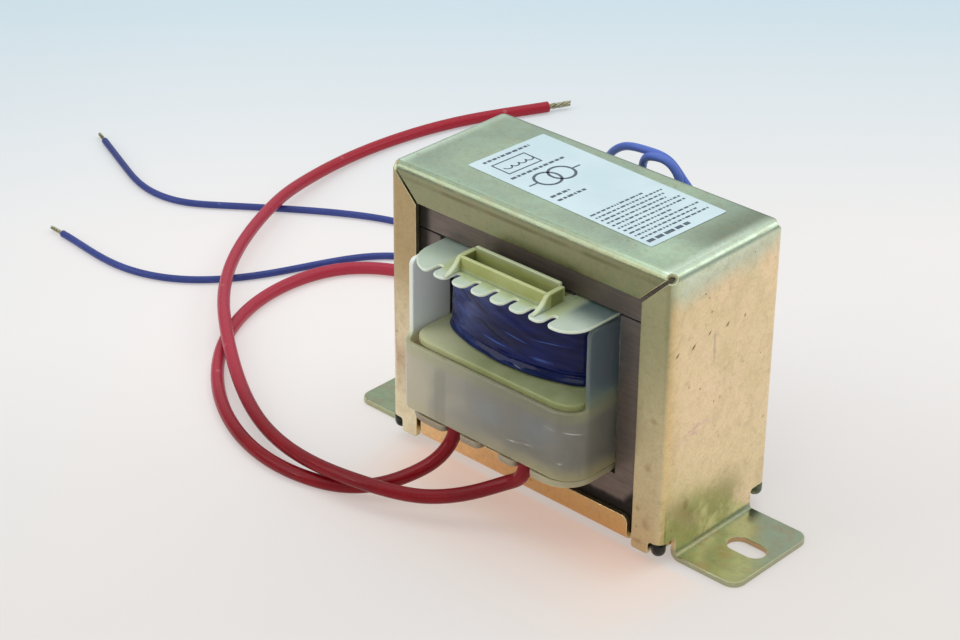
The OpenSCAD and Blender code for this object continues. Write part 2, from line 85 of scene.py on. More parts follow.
class Mat:
    """A Principled material with short calls for the nodes that drive it. Positions are in millimetres."""

    def __init__(self, name, **consts):
        self.m = bpy.data.materials.new(name)
        self.m.use_nodes = True
        self.nt = self.m.node_tree
        self.nt.nodes.clear()
        out = self.n("ShaderNodeOutputMaterial")
        self.bsdf = self.n("ShaderNodeBsdfPrincipled")
        self.nt.links.new(self.bsdf.outputs[0], out.inputs["Surface"])
        self.pos = self.vscale(self.n("ShaderNodeTexCoord").outputs["Object"], 1000)
        self._nrm = None
        for k, v in consts.items():
            self.bsdf.inputs[k.replace("_", " ")].default_value = v

    def n(self, kind, **props):
        node = self.nt.nodes.new(kind)
        for k, v in props.items():
            setattr(node, k, v)
        return node

    def put(self, sock, value):
        if isinstance(value, bpy.types.NodeSocket):
            self.nt.links.new(value, sock)
        else:
            sock.default_value = value

    def out(self, **sockets):
        for k, v in sockets.items():
            self.put(self.bsdf.inputs[k.replace("_", " ")], v)
        return self.m

    def vscale(self, v, s):
        node = self.n("ShaderNodeVectorMath", operation="SCALE")
        self.put(node.inputs[0], v)
        node.inputs["Scale"].default_value = s
        return node.outputs[0]

    def stretch(self, xyz, v=None, rot=(0, 0, 0), loc=(0, 0, 0)):
        node = self.n("ShaderNodeMapping", vector_type="POINT")
        self.put(node.inputs["Vector"], v or self.pos)
        node.inputs["Location"].default_value = loc
        node.inputs["Rotation"].default_value = [math.radians(a) for a in rot]
        node.inputs["Scale"].default_value = xyz
        return node.outputs[0]

    def xyz(self, v=None):
        node = self.n("ShaderNodeSeparateXYZ")
        self.put(node.inputs[0], v or self.pos)
        return node.outputs

    def normal(self):
        if self._nrm is None:
            self._nrm = self.xyz(self.n("ShaderNodeNewGeometry").outputs["Normal"])
        return self._nrm

    def attr(self, name):
        return self.n("ShaderNodeAttribute", attribute_name=name).outputs["Fac"]

    def noise(self, scale, detail=2.0, rough=0.5, distort=0.0, v=None):
        node = self.n("ShaderNodeTexNoise")
        self.put(node.inputs["Vector"], v or self.pos)
        node.inputs["Scale"].default_value = scale
        node.inputs["Detail"].default_value = detail
        node.inputs["Roughness"].default_value = rough
        node.inputs["Distortion"].default_value = distort
        return node.outputs["Fac"]

    def cells(self, scale, v=None, feature="F1"):
        node = self.n("ShaderNodeTexVoronoi", feature=feature)
        self.put(node.inputs["Vector"], v or self.pos)
        node.inputs["Scale"].default_value = scale
        return node.outputs["Distance"]

    def math(self, op, a, b=0.0, c=0.0, clamp=False):
        node = self.n("ShaderNodeMath", operation=op, use_clamp=clamp)
        for s, v in zip(node.inputs, (a, b, c)):
            self.put(s, v)
        return node.outputs[0]

    def span(self, v, a, b, lo=0.0, hi=1.0, kind="SMOOTHSTEP"):
        """v from a to b becomes lo to hi, smoothly, and stays there beyond."""
        node = self.n("ShaderNodeMapRange", interpolation_type=kind)
        node.clamp = True
        self.put(node.inputs["Value"], v)
        for k, x in (("From Min", a), ("From Max", b), ("To Min", lo), ("To Max", hi)):
            self.put(node.inputs[k], x)
        return node.outputs["Result"]

    def mix(self, f, a, b, blend="MIX"):
        node = self.n("ShaderNodeMix", data_type="RGBA", blend_type=blend)
        self.put(node.inputs[0], f)
        self.put(node.inputs[6], a)
        self.put(node.inputs[7], b)
        return node.outputs[2]

    def fmix(self, f, a, b):
        node = self.n("ShaderNodeMix", data_type="FLOAT")
        self.put(node.inputs[0], f)
        self.put(node.inputs[2], a)
        self.put(node.inputs[3], b)
        return node.outputs[0]

    def bump(self, height, distance, strength=1.0, normal=None):
        """distance is in millimetres for a height of 1."""
        node = self.n("ShaderNodeBump")
        node.inputs["Strength"].default_value = strength
        node.inputs["Distance"].default_value = distance * MM
        self.put(node.inputs["Height"], height)
        if normal is not None:
            self.put(node.inputs["Normal"], normal)
        return node.outputs[0]

    def band(self, v, lo, hi, soft):
        """1 between lo and hi, falling to 0 over soft on each side."""
        return self.math("MULTIPLY", self.span(v, lo - soft, lo), self.span(v, hi + soft, hi))

    def blob(self, a, b, ca, cb, ra, rb, turn=0.0, hard=0.35, wobble=0.0):
        """1 inside an ellipse round (ca, cb) on the plane of two coordinates."""
        comb = self.n("ShaderNodeCombineXYZ")
        self.put(comb.inputs[0], a)
        self.put(comb.inputs[1], b)
        sub = self.n("ShaderNodeVectorMath", operation="SUBTRACT")
        self.put(sub.inputs[0], comb.outputs[0])
        sub.inputs[1].default_value = (ca, cb, 0)
        v = self.stretch((1, 1, 1), sub.outputs[0], rot=(0, 0, -turn))
        v = self.stretch((1 / ra, 1 / rb, 1), v)
        node = self.n("ShaderNodeVectorMath", operation="LENGTH")
        self.put(node.inputs[0], v)
        d = node.outputs["Value"]
        if wobble:
            d = self.math("ADD", d, self.math("MULTIPLY", self.math("SUBTRACT", self.noise(1.1, 3), 0.5), wobble))
        return self.span(d, 1.0, hard)


def most(m, *masks):
    out = masks[0]
    for k in masks[1:]:
        out = m.math("MAXIMUM", out, k)
    return out


# positions of the wear marks on the right side panel, (y, z) in mm with half sizes and turn
SIDE_PITS = [
    (-11.7, 38.0, 0.75, 0.33, 40), (-7.8, 38.0, 0.85, 0.36, 42), (-4.0, 38.9, 0.65, 0.25, 46),
    (0.4, 38.7, 0.75, 0.33, 42), (4.7, 38.6, 0.5, 0.26, 70), (-5.6, 46.2, 0.3, 0.2, 0),
    (-4.6, 45.2, 0.3, 0.2, 20), (-3.8, 42.5, 0.22, 0.3, 0), (-5.7, 29.8, 0.3, 0.25, 0),
    (6.2, 49.0, 0.2, 0.2, 0), (-2.0, 26.0, 0.2, 0.25, 0), (9.5, 30.0, 0.22, 0.16, 30),
]


# sRGB colours of the passivated film, panel by panel: partly the film's own tone, partly painted reflection of the
# surroundings set by how each panel faces the light; the bend entries are painted highlights and shade
Z = {
    "flange_top_l": (150, 150, 116), "flange_top_r": (138, 140, 106),
    "flange_l_up": (186, 160, 116), "flange_l_low": (246, 232, 196),
    "flange_r_up": (164, 162, 124), "flange_r_low": (206, 192, 152),
    "side_a": (252, 226, 184), "side_b": (240, 218, 172), "side_under_bend_reflection": (214, 220, 194), "side_low": (248, 226, 180),
    "top_a": (172, 188, 168), "top_b": (192, 210, 182), "top_front_highlight": (190, 212, 184), "top_right": (140, 150, 128), "bend": (196, 212, 188), "front_bend_shade": (150, 162, 136),
    "foot": (160, 156, 90), "ear_a": (158, 168, 136), "ear_b": (146, 162, 134), "ear_c": (164, 152, 124), "ear_fillet_highlight": (184, 180, 122),
    "ear_bloom": (156, 164, 142), "plate_l": (244, 204, 150), "plate_r": (214, 172, 114),
}
# painted highlights on long folds of the film, (x, z, half sizes, turn) in mm
FILM_FOLD_HIGHLIGHTS = [(-11.4, 29.0, 2.4, 0.35, -6), (-6.8, 28.7, 3.0, 0.25, -3), (3.0, 28.4, 6.5, 0.16, -1), (-1.5, 31.2, 4.5, 0.28, -3),
              (7.6, 31.0, 2.6, 0.4, -3), (8.5, 34.2, 4.6, 0.16, 2), (-9.5, 33.2, 3.2, 0.5, -12), (2.6, 33.4, 3.8, 0.2, -8)]
# fine scratches and milky patches on the covers, (x, z, half sizes, turn) in mm
COVER_SCRATCHES = [(6.2, 17.9, 1.7, 0.13, 5), (9.6, 18.6, 1.3, 0.10, 10), (13.6, 23.4, 1.9, 0.10, -6), (17.0, 23.2, 1.5, 0.12, -12),
                   (15.6, 17.6, 0.8, 0.15, 2), (1.5, 22.4, 1.4, 0.08, 18), (-4.6, 20.6, 1.0, 0.07, -30), (10.8, 21.4, 1.2, 0.07, 3)]
COVER_HAZE = [(10.5, 21.5, 6.5, 3.6, 4), (1.5, 20.8, 5.5, 3.0, -4)]
# rust-brown breath on the right front flange, (x, z) in mm with half sizes
FLANGE_STAINS = [(26.4, 7.4, 1.2, 1.5), (26.4, 17.6, 0.9, 1.3), (27.0, 26.3, 0.9, 0.9), (24.7, 9.6, 0.7, 1.0), (25.0, 3.6, 1.3, 0.8)]


def zinc(name="zinc_chromate", plate=False):
    """Passivated zinc sheet. The film's tint differs from panel to panel, partly as it does on the real dip and partly
    as painted reflection and highlight, which follow how each panel faces the light.
    """
    m = Mat(name, Coat_Weight=0.2, Coat_Roughness=0.2)
    x, y, z = m.xyz()
    nx, ny, nz = m.normal()
    ax = m.math("ABSOLUTE", x)
    broad = m.noise(0.085, 3, 0.55, 0.6)
    mid = m.noise(0.42, 4, 0.6, 0.4)
    fine = m.noise(2.6, 3, 0.6)
    anx, any_, anz = [m.math("ABSOLUTE", n) for n in (nx, ny, nz)]
    side = m.span(anx, 0.45, 0.9)
    flat = m.span(anz, 0.45, 0.9)
    # front and rear flanges: khaki along the top, tan down the sides; the shifts from left to right and with height
    # are painted reflection of the surroundings
    top_strip = m.span(m.math("SUBTRACT", z, ax), 22.3, 22.7)
    khaki = m.mix(m.span(x, -18, 24), lin(*Z["flange_top_l"]), lin(*Z["flange_top_r"]))
    left = m.mix(m.span(z, 37, 18), lin(*Z["flange_l_up"]), lin(*Z["flange_l_low"]))
    right = m.mix(m.span(z, 42, 20), lin(*Z["flange_r_up"]), lin(*Z["flange_r_low"]))
    front = m.mix(top_strip, m.mix(m.span(x, -2, 2), left, right), khaki)
    # side panels: a painted cooler reflection under the bend, reaching down in a cloud above the middle, tan below
    bend_reflection_mask = m.math("MULTIPLY", m.span(m.math("ADD", z, m.math("MULTIPLY", broad, 8)), 49, 53.5), 1.0)
    panel = m.mix(m.span(broad, 0.35, 0.68), lin(*Z["side_a"]), lin(*Z["side_b"]))
    panel = m.mix(bend_reflection_mask, panel, lin(*Z["side_under_bend_reflection"]))
    panel = m.mix(m.span(z, 26, 12, 0, 0.8), panel, lin(*Z["side_low"]))
    # top: sage, deeper towards the right, with a painted highlight along the front
    top = m.mix(m.span(broad, 0.3, 0.7), lin(*Z["top_a"]), lin(*Z["top_b"]))
    top = m.mix(m.span(m.math("ADD", y, m.math("MULTIPLY", broad, 3)), -8.5, -12.5), top, lin(*Z["top_front_highlight"]))
    far = m.math("MULTIPLY", m.span(m.math("ADD", x, m.math("MULTIPLY", broad, 6)), 22, 29), m.span(y, -6, 3))
    top = m.mix(far, top, lin(*Z["top_right"]))
    # painted highlight on the top beside the side bends, and round the right front corner
    bend_side_highlight = m.math("MULTIPLY", m.span(ax, 26.2, 28.4), m.span(y, 15, -4, 0.45, 1))
    top = m.mix(bend_side_highlight, top, lin(238, 252, 230))
    corner = m.blob(x, y, 22, -7.5, 8, 6, 0, 0.0, 1.0)
    top = m.mix(m.math("MULTIPLY", corner, 0.8), top, lin(206, 228, 198))
    col = m.mix(side, front, panel)
    col = m.mix(flat, col, top)
    # the bend over the right side catches the light
    under = m.math("MULTIPLY", side, m.span(m.math("ADD", z, m.math("MULTIPLY", y, -0.07)), 48.6, 51.0))
    col = m.mix(m.math("MULTIPLY", under, 0.8), col, lin(226, 238, 210))
    fold = m.math("MULTIPLY", m.math("MULTIPLY", m.span(anx, 0.06, 0.2), m.span(anz, 0.06, 0.2)), m.span(z, 48, 50))
    bend = m.math("MULTIPLY", fold, m.span(y, 14, -2, 0.4, 0.9))
    col = m.mix(bend, col, lin(*Z["bend"]))
    # painted shade dulling the highlight on the front bend, more towards the left
    front_bend_shade = m.math("MULTIPLY", m.math("MULTIPLY", m.span(any_, 0.15, 0.35), m.span(anz, 0.15, 0.35)), m.span(z, 48, 50))
    col = m.mix(m.math("MULTIPLY", front_bend_shade, m.span(x, 26, 8, 0.2, 0.85)), col, lin(*Z["front_bend_shade"]))
    # the side panel is greener beside its front fold
    hem = m.math("MULTIPLY", side, m.span(m.math("ADD", y, m.math("MULTIPLY", broad, 6)), -7, -11.5))
    col = m.mix(m.math("MULTIPLY", hem, 0.9), col, lin(238, 232, 206), "MULTIPLY")
    # greener at the foot of the sides and on the ears, with a cooler bloom across each ear
    foot = m.math("MULTIPLY", m.span(z, 13.5, 7.5), m.span(m.noise(0.16, 3, 0.6), 0.34, 0.56))
    foot = m.math("MULTIPLY", foot, m.span(m.math("ADD", y, m.math("MULTIPLY", z, 0.5)), 11.5, 7.0, 0.25, 1))
    col = m.mix(m.math("MULTIPLY", m.math("MULTIPLY", foot, side), 0.7), col, lin(*Z["foot"]))
    sill = m.math("MULTIPLY", m.math("MULTIPLY", m.span(anx, 0.04, 0.15), m.span(anz, 0.04, 0.15)), m.span(z, 6, 4))
    ear = m.span(z, 2.4, 1.4)
    col = m.mix(ear, col, m.mix(m.span(mid, 0.35, 0.65), lin(*Z["ear_a"]), lin(*Z["ear_b"])))
    # painted highlight along the fillet of each ear's bend
    col = m.mix(m.math("MULTIPLY", m.math("MULTIPLY", m.span(anx, 0.06, 0.2), m.span(anz, 0.06, 0.2)), m.span(z, 6, 4)), col, lin(*Z["ear_fillet_highlight"]))
    bloom = m.math("MULTIPLY", ear, m.span(m.math("ADD", y, m.math("MULTIPLY", ax, 0.35)), 9.5, 17.5))
    col = m.mix(m.math("MULTIPLY", bloom, 0.7), col, lin(*Z["ear_bloom"]))
    col = m.mix(m.math("MULTIPLY", ear, m.span(m.noise(0.3, 3, 0.6, 0.5, m.stretch((1, 1, 1), loc=(9, 4, 1))), 0.52, 0.66, 0, 0.7)),
                col, lin(*Z["ear_c"]))
    if plate:
        col = m.mix(m.span(m.math("ADD", x, m.math("MULTIPLY", broad, 10)), -12, 12), lin(*Z["plate_l"]), lin(*Z["plate_r"]))
    # clouding, fine mottle and rust-brown breath
    col = m.mix(m.span(mid, 0.42, 0.75, 0, 0.22), col, lin(190, 168, 130))
    mottle = m.noise(0.8, 5, 0.72, 0.3, m.stretch((1, 1, 1), loc=(21, 5, 8)))
    col = m.mix(m.span(mottle, 0.5, 0.34, 0, 0.3), col, lin(206, 214, 182), "MULTIPLY")
    col = m.mix(m.span(mottle, 0.54, 0.7, 0, 0.2), col, lin(236, 214, 196), "MULTIPLY")
    col = m.mix(m.span(fine, 0.3, 0.75, 0, 0.14), col, lin(110, 104, 76))
    smut = most(m, *[m.blob(x, z, a, b, ra, rb, 0, 0.1, 0.9) for a, b, ra, rb in FLANGE_STAINS])
    smut = m.math("MULTIPLY", m.math("MULTIPLY", smut, m.span(ny, -0.8, -0.95)), 0.0 if plate else 0.45)
    col = m.mix(smut, col, lin(150, 118, 84))
    # pits and long stains
    on_side = m.span(m.math("ABSOLUTE", nx), 0.8, 0.95)
    right = m.math("MULTIPLY", on_side, m.span(x, 20, 25))
    pits = most(m, *[m.blob(y, z, a, b, ra, rb, t, 0.2, 0.5) for a, b, ra, rb, t in SIDE_PITS])
    pits = m.math("MULTIPLY", pits, right)
    speck = m.span(m.cells(0.33, m.stretch((1, 1, 1), loc=(3, 7, 2))), 0.13, 0.06)
    speck = m.math("MULTIPLY", speck, m.span(m.noise(0.2, 2), 0.5, 0.62))
    marks = m.math("MAXIMUM", pits, m.math("MULTIPLY", speck, 0.5))
    col = m.mix(m.math("MULTIPLY", marks, 0.85), col, lin(112, 92, 44))
    streak = m.math("MULTIPLY", m.blob(y, z, -2.6, 36, 0.5, 4.5, 3, 0.1, 0.6), right)
    col = m.mix(m.math("MULTIPLY", streak, 0.45), col, lin(150, 146, 138))
    # a rubbed diagonal band of pinkish scratches low on the right side
    along = m.blob(y, z, -6.3, 22.6, 6.4, 1.5, 10, 0.3, 0.8)
    hatch = m.noise(1.5, 3, 0.7, 0.6, m.stretch((1, 0.55, 1.6), rot=(38, 0, 0)))
    rub = m.math("MULTIPLY", m.math("MULTIPLY", along, m.span(hatch, 0.5, 0.6)), right)
    col = m.mix(m.math("MULTIPLY", rub, 0.55), col, lin(222, 172, 172))
    stain = m.math("MULTIPLY", m.blob(y, z, -7.6, 9.6, 1.1, 1.7, 10, 0.1, 0.9), right)
    col = m.mix(m.math("MULTIPLY", stain, 0.5), col, lin(140, 100, 60))
    # sheared edges show brighter zinc
    # painted shade: a fine dark line under the front bend, where a shallow crease lies in shadow
    line = m.math("MULTIPLY", m.band(z, 49.65, 50.0, 0.3), m.math("MULTIPLY", m.span(any_, 0.8, 0.95), m.span(ax, 28.2, 27.2)))
    line = m.math("MULTIPLY", line, m.span(m.noise(0.12, 2, 0.5), 0.35, 0.6, 0.15, 0.6))
    col = m.mix(m.math("MULTIPLY", line, 0.0 if plate else 1.0), col, lin(104, 98, 66))
    cut = m.math("MULTIPLY", m.attr("cut"), m.span(z, 1.6, 3.0, 0.25, 0.6))
    col = m.mix(cut, col, lin(222, 214, 172))
    # the slots' cut walls have gone rusty
    wall = m.math("MULTIPLY", m.math("MULTIPLY", m.span(anz, 0.4, 0.2), m.span(z, 1.4, 1.1)), m.band(ax, 31.6, 39.4, 0.3))
    col = m.mix(m.math("MULTIPLY", m.math("MULTIPLY", wall, m.span(m.math("ABSOLUTE", y), 6.4, 5.8)), 0.7), col, lin(196, 150, 104))
    metal = m.math("SUBTRACT", 1.0, m.math("MAXIMUM", m.math("MULTIPLY", sill, 0.85), m.math("MULTIPLY", fold, 0.35)))
    # long faint rolling marks give the gloss a grain
    roll = m.noise(1.0, 4, 0.65, 0, m.stretch((0.25, 3.2, 3.2)))
    rough = m.math("ADD", m.span(mid, 0.3, 0.7, 0.24, 0.33), m.math("MULTIPLY", roll, 0.08))
    rough = m.math("ADD", rough, m.math("MULTIPLY", marks, 0.25))
    h = m.math("ADD", m.math("MULTIPLY", mid, 0.5), m.math("MULTIPLY", fine, 0.10))
    h = m.math("SUBTRACT", h, m.math("MULTIPLY", marks, 0.5))
    h = m.math("ADD", h, m.math("MULTIPLY", rub, 0.12))
    nrm = m.bump(m.noise(0.07, 1, 0.4), 0.35)
    nrm = m.bump(h, 0.03, normal=nrm)
    return m.out(Base_Color=col, Roughness=rough, Metallic=metal, Normal=nrm)


def lug_metal():
    m = Mat("blackened_lug", Metallic=0.9, Coat_Weight=0.5, Coat_Roughness=0.12)
    f = m.noise(0.9, 4, 0.6, 0.5)
    # the dark finish is the lug's own; the front lugs are painted darker than the rear ones, as painted shade
    near = m.span(m.xyz()[1], 4, -4)
    dark = m.mix(m.span(f, 0.35, 0.7), lin(14, 15, 15), lin(44, 46, 40))
    pale = m.mix(m.span(f, 0.35, 0.7), lin(74, 82, 66), lin(132, 140, 104))
    col = m.mix(near, pale, dark)
    return m.out(Base_Color=col, Roughness=m.span(f, 0.3, 0.7, 0.22, 0.45), Normal=m.bump(m.noise(2.2, 3, 0.6), 0.10))


def lamination():
    m = Mat("lamination_steel", Metallic=0.75)
    x, y, z = m.xyz()
    grain = m.noise(0.9, 4, 0.6, 0, m.stretch((0.2, 1, 2.2)))
    cloud = m.noise(0.13, 3, 0.55, 0.4)
    col = m.mix(m.span(cloud, 0.3, 0.7), lin(112, 103, 97), lin(128, 114, 106))
    col = m.mix(m.span(grain, 0.35, 0.75, 0, 0.35), col, lin(92, 84, 78))
    speck = m.span(m.cells(0.9), 0.12, 0.05)
    col = m.mix(m.math("MULTIPLY", speck, 0.25), col, lin(70, 52, 40))
    cut = m.attr("cut")
    col = m.mix(m.math("MULTIPLY", cut, 0.5), col, lin(150, 146, 150))
    # painted shade: the core is painted near-black at the seat of the folded plate and along the inner edge of the
    # left flange, where the gaps behind the flanges lie in shadow
    ax = m.math("ABSOLUTE", x)
    seat = m.span(m.math("ADD", z, m.math("MULTIPLY", m.noise(0.5, 2), 0.8)), 9.8, 8.6)
    edge = m.span(x, -20.6, -22.4)
    low = m.span(m.math("SUBTRACT", z, m.math("MULTIPLY", m.math("SUBTRACT", ax, 20.6), 1.2)), 9.5, 7.5)
    dark = most(m, m.math("MULTIPLY", seat, m.span(ax, 23.8, 22.8)), edge, m.math("MULTIPLY", low, m.span(ax, 24, 22.8)))
    outer = m.span(m.math("ABSOLUTE", y), 12.2, 12.5)
    dark = m.math("MULTIPLY", dark, outer)
    col = m.mix(m.math("MULTIPLY", dark, 0.9), col, lin(14, 13, 14))
    rough = m.math("ADD", m.span(grain, 0.3, 0.7, 0.42, 0.55), m.math("MULTIPLY", dark, 0.1))
    return m.out(Base_Color=col, Roughness=rough, Normal=m.bump(grain, 0.02))


def nylon(name, base, deep, glow, comb=False):
    """Natural nylon: waxy, yellow-green where it is thick, whiter at thin edges."""
    m = Mat(name, Subsurface_Weight=0.5, Subsurface_Scale=0.0014, Subsurface_Radius=(1.0, 0.95, 0.6), Coat_Weight=0.12,
            Coat_Roughness=0.25)
    x, y, z = m.xyz()
    cloud = m.noise(0.3, 3, 0.5, 0.4)
    col = m.mix(m.span(cloud, 0.3, 0.7), lin(*base), lin(*deep))
    if comb:
        # painted shade: the thin sheet is darker where the recess behind its teeth lies in shadow, and it greens
        # towards the trays
        ay = m.math("ABSOLUTE", y)
        ax = m.math("ABSOLUTE", x)
        ends = m.span(ax, 11.2, 13.2)
        inner = m.math("MULTIPLY", m.span(m.math("ADD", ay, m.math("MULTIPLY", cloud, 1.2)), 20.6, 14.6), ends)
        col = m.mix(m.math("MULTIPLY", inner, m.span(x, -6, 6, 0.45, 0.95)), col, lin(84, 104, 104))
        root = m.math("MULTIPLY", m.math("MULTIPLY", m.span(ay, 21.4, 19.6), m.math("SUBTRACT", 1.0, ends)), m.span(z, 36, 40))
        col = m.mix(m.math("MULTIPLY", root, 0.7), col, lin(172, 182, 124))
        # painted shade inside each tray
        tray = m.math("MULTIPLY", m.span(ay, 18.6, 18.2), m.math("MULTIPLY", m.span(ax, 9.0, 8.6), m.span(z, 36, 40)))
        col = m.mix(m.math("MULTIPLY", tray, 0.9), col, lin(112, 116, 58))
        # the lower flange carries painted reflection of the orange plate and the tape round it, and painted shade
        col = m.mix(m.math("MULTIPLY", m.span(z, 20, 16), 0.9), col, m.mix(m.span(x, 8, 15), lin(138, 112, 84), lin(160, 146, 106)))
    else:
        # mint where a tray runs out into the comb, olive inside it as painted shade
        ay = m.math("ABSOLUTE", y)
        tall = m.span(z, 36, 40)
        foot = m.math("MULTIPLY", m.span(z, 42.1, 41.3, 0, 0.6), m.span(ay, 18.4, 18.8))
        nose = m.math("MULTIPLY", m.span(ay, 18.9, 20.2), 0.95)
        col = m.mix(m.math("MULTIPLY", m.math("MAXIMUM", foot, nose), tall), col, lin(200, 211, 190))
        back = m.math("MULTIPLY", m.span(ay, 16.0, 15.2), m.span(z, 43.4, 44.1))
        col = m.mix(m.math("MULTIPLY", back, 0.8), col, lin(176, 184, 166))
        tray_inside_shade = m.math("MULTIPLY", m.band(ay, 15.6, 18.15, 0.12), m.span(z, 44.2, 43.2))
        tray_inside_shade = m.math("MULTIPLY", tray_inside_shade, tall)
        col = m.mix(m.math("MULTIPLY", tray_inside_shade, 0.75), col, lin(112, 116, 60))
        # the middle flange is paler under the light from the left
        col = m.mix(m.math("MULTIPLY", m.span(x, 0, -14), m.math("SUBTRACT", 1.0, tall)), col, lin(222, 222, 180))
    cut = m.math("MULTIPLY", m.attr("cut"), m.span(z, 16, 20, 0.1, 0.5))
    col = m.mix(cut, col, lin(*glow))
    speck = m.span(m.cells(0.7), 0.07, 0.03)
    col = m.mix(m.math("MULTIPLY", speck, 0.35), col, lin(120, 112, 70))
    rough = m.span(m.noise(1.4, 3), 0.3, 0.7, 0.34, 0.5)
    return m.out(Base_Color=col, Roughness=rough, Normal=m.bump(m.noise(0.9, 3, 0.55), 0.03))


def cover_plastic():
    """Thin translucent cover with hairline scratches; what lies behind it shows through, blurred."""
    m = Mat("cover_nylon", IOR=1.38, Coat_Weight=0.1, Coat_Roughness=0.2)
    x, y, z = m.xyz()
    cloud = m.noise(0.12, 3, 0.5, 0.5)
    across = m.math("ADD", x, m.math("MULTIPLY", m.math("SUBTRACT", cloud, 0.5), 14))
    # cream towards the left and grey to the right: partly the milky and clear parts of the cover, partly painted light
    # falling from the left
    milky = m.mix(m.span(cloud, 0.3, 0.7), lin(236, 230, 208), lin(226, 224, 206))
    clear = m.mix(m.span(cloud, 0.3, 0.7), lin(202, 200, 192), lin(210, 208, 198))
    col = m.mix(m.span(across, -15, -4), milky, clear)
    # the left wing is painted near-white as painted light, the right wing grey-blue as painted shade
    wing = m.span(z, 26.5, 27.5)
    col = m.mix(wing, col, m.mix(m.span(x, -4, 4), lin(246, 250, 250), lin(176, 194, 204)))
    edge = m.math("ADD", z, m.math("MULTIPLY", cloud, 2.5))
    foot = m.math("MULTIPLY", m.span(edge, 19, 15.5), m.span(x, -8, 12, 0.4, 1))
    col = m.mix(m.math("MULTIPLY", foot, 0.75), col, lin(226, 212, 150))
    fold = m.math("MULTIPLY", m.span(x, -16.6, -18.2), m.span(z, 27, 26))
    col = m.mix(fold, col, lin(250, 240, 216))
    band = m.math("MULTIPLY", m.band(x, -10.4, -8.8, 0.8), m.span(z, 26, 23))
    col = m.mix(m.math("MULTIPLY", band, 0.3), col, lin(160, 160, 146))
    cut = m.math("MULTIPLY", m.attr("cut"), m.span(m.math("ABSOLUTE", y), 19.5, 21.5, 0.7, 1))
    col = m.mix(m.math("MULTIPLY", cut, 0.35), col, lin(206, 210, 172))
    hair = most(m, *[m.blob(x, z, a, b, ra, rb, t, 0.2, 0.7) for a, b, ra, rb, t in COVER_SCRATCHES])
    hair = m.math("MULTIPLY", hair, m.span(m.noise(0.9, 2), 0.35, 0.5, 0.4, 1.0))
    col = m.mix(m.math("MULTIPLY", hair, 0.9), col, lin(250, 250, 246))
    haze = most(m, *[m.blob(x, z, a, b, ra, rb, t, 0.1, 1.0) for a, b, ra, rb, t in COVER_HAZE])
    col = m.mix(m.math("MULTIPLY", haze, 0.55), col, lin(204, 212, 222))
    # the middle flange shows through the right wall as a green band
    seen = m.math("MULTIPLY", m.band(z, 25.9, 27.8, 1.3), m.span(x, 14, 18))
    seen = m.math("MULTIPLY", seen, m.span(m.math("ABSOLUTE", y), 21.6, 20))
    col = m.mix(m.math("MULTIPLY", seen, 0.5), col, lin(196, 200, 148))
    hem = m.math("MULTIPLY", m.band(z, 25.2, 27.4, 0.9), m.span(m.math("ABSOLUTE", y), 18, 20))
    col = m.mix(m.math("MULTIPLY", hem, 0.45), col, lin(216, 218, 170))
    rough = m.math("ADD", m.span(m.noise(0.8, 3), 0.3, 0.7, 0.3, 0.38), m.math("MULTIPLY", hair, 0.2))
    trans = m.span(across, -16, 6, 0.52, 0.84, "LINEAR")
    trans = m.fmix(m.math("MULTIPLY", wing, m.span(x, 4, -4)), trans, 0.0)
    trans = m.fmix(fold, trans, 0.35)
    trans = m.math("SUBTRACT", trans, m.math("ADD", m.math("MULTIPLY", hair, 0.5), m.math("ADD", m.math("MULTIPLY", seen, 0.12), m.math("MULTIPLY", foot, 0.22))))
    return m.out(Base_Color=col, Roughness=rough, Transmission_Weight=trans, Normal=m.bump(m.noise(0.3, 2), 0.02))


def pale_tape():
    m = Mat("pale_tape", Coat_Weight=0.2, Coat_Roughness=0.2)
    x, y, z = m.xyz()
    weave = m.math("MULTIPLY", m.math("SINE", m.math("MULTIPLY", z, 14)), 0.5)
    cloud = m.noise(0.25, 3)
    warm = m.mix(m.span(cloud, 0.3, 0.7), lin(224, 214, 184), lin(230, 222, 198))
    grey = m.mix(m.span(cloud, 0.3, 0.7), lin(166, 164, 156), lin(180, 176, 164))
    # warm cream to the left, grey to the right: painted light falling from the left
    col = m.mix(m.span(m.math("ADD", x, m.math("MULTIPLY", cloud, 4)), -16, 4), warm, grey)
    col = m.mix(m.span(m.noise(1.2, 2, 0.5, 0, m.stretch((0.3, 0.3, 2))), 0.5, 0.75, 0, 0.4), col, lin(150, 140, 116))
    return m.out(Base_Color=col, Roughness=m.span(cloud, 0.3, 0.7, 0.4, 0.55), Normal=m.bump(weave, 0.01))


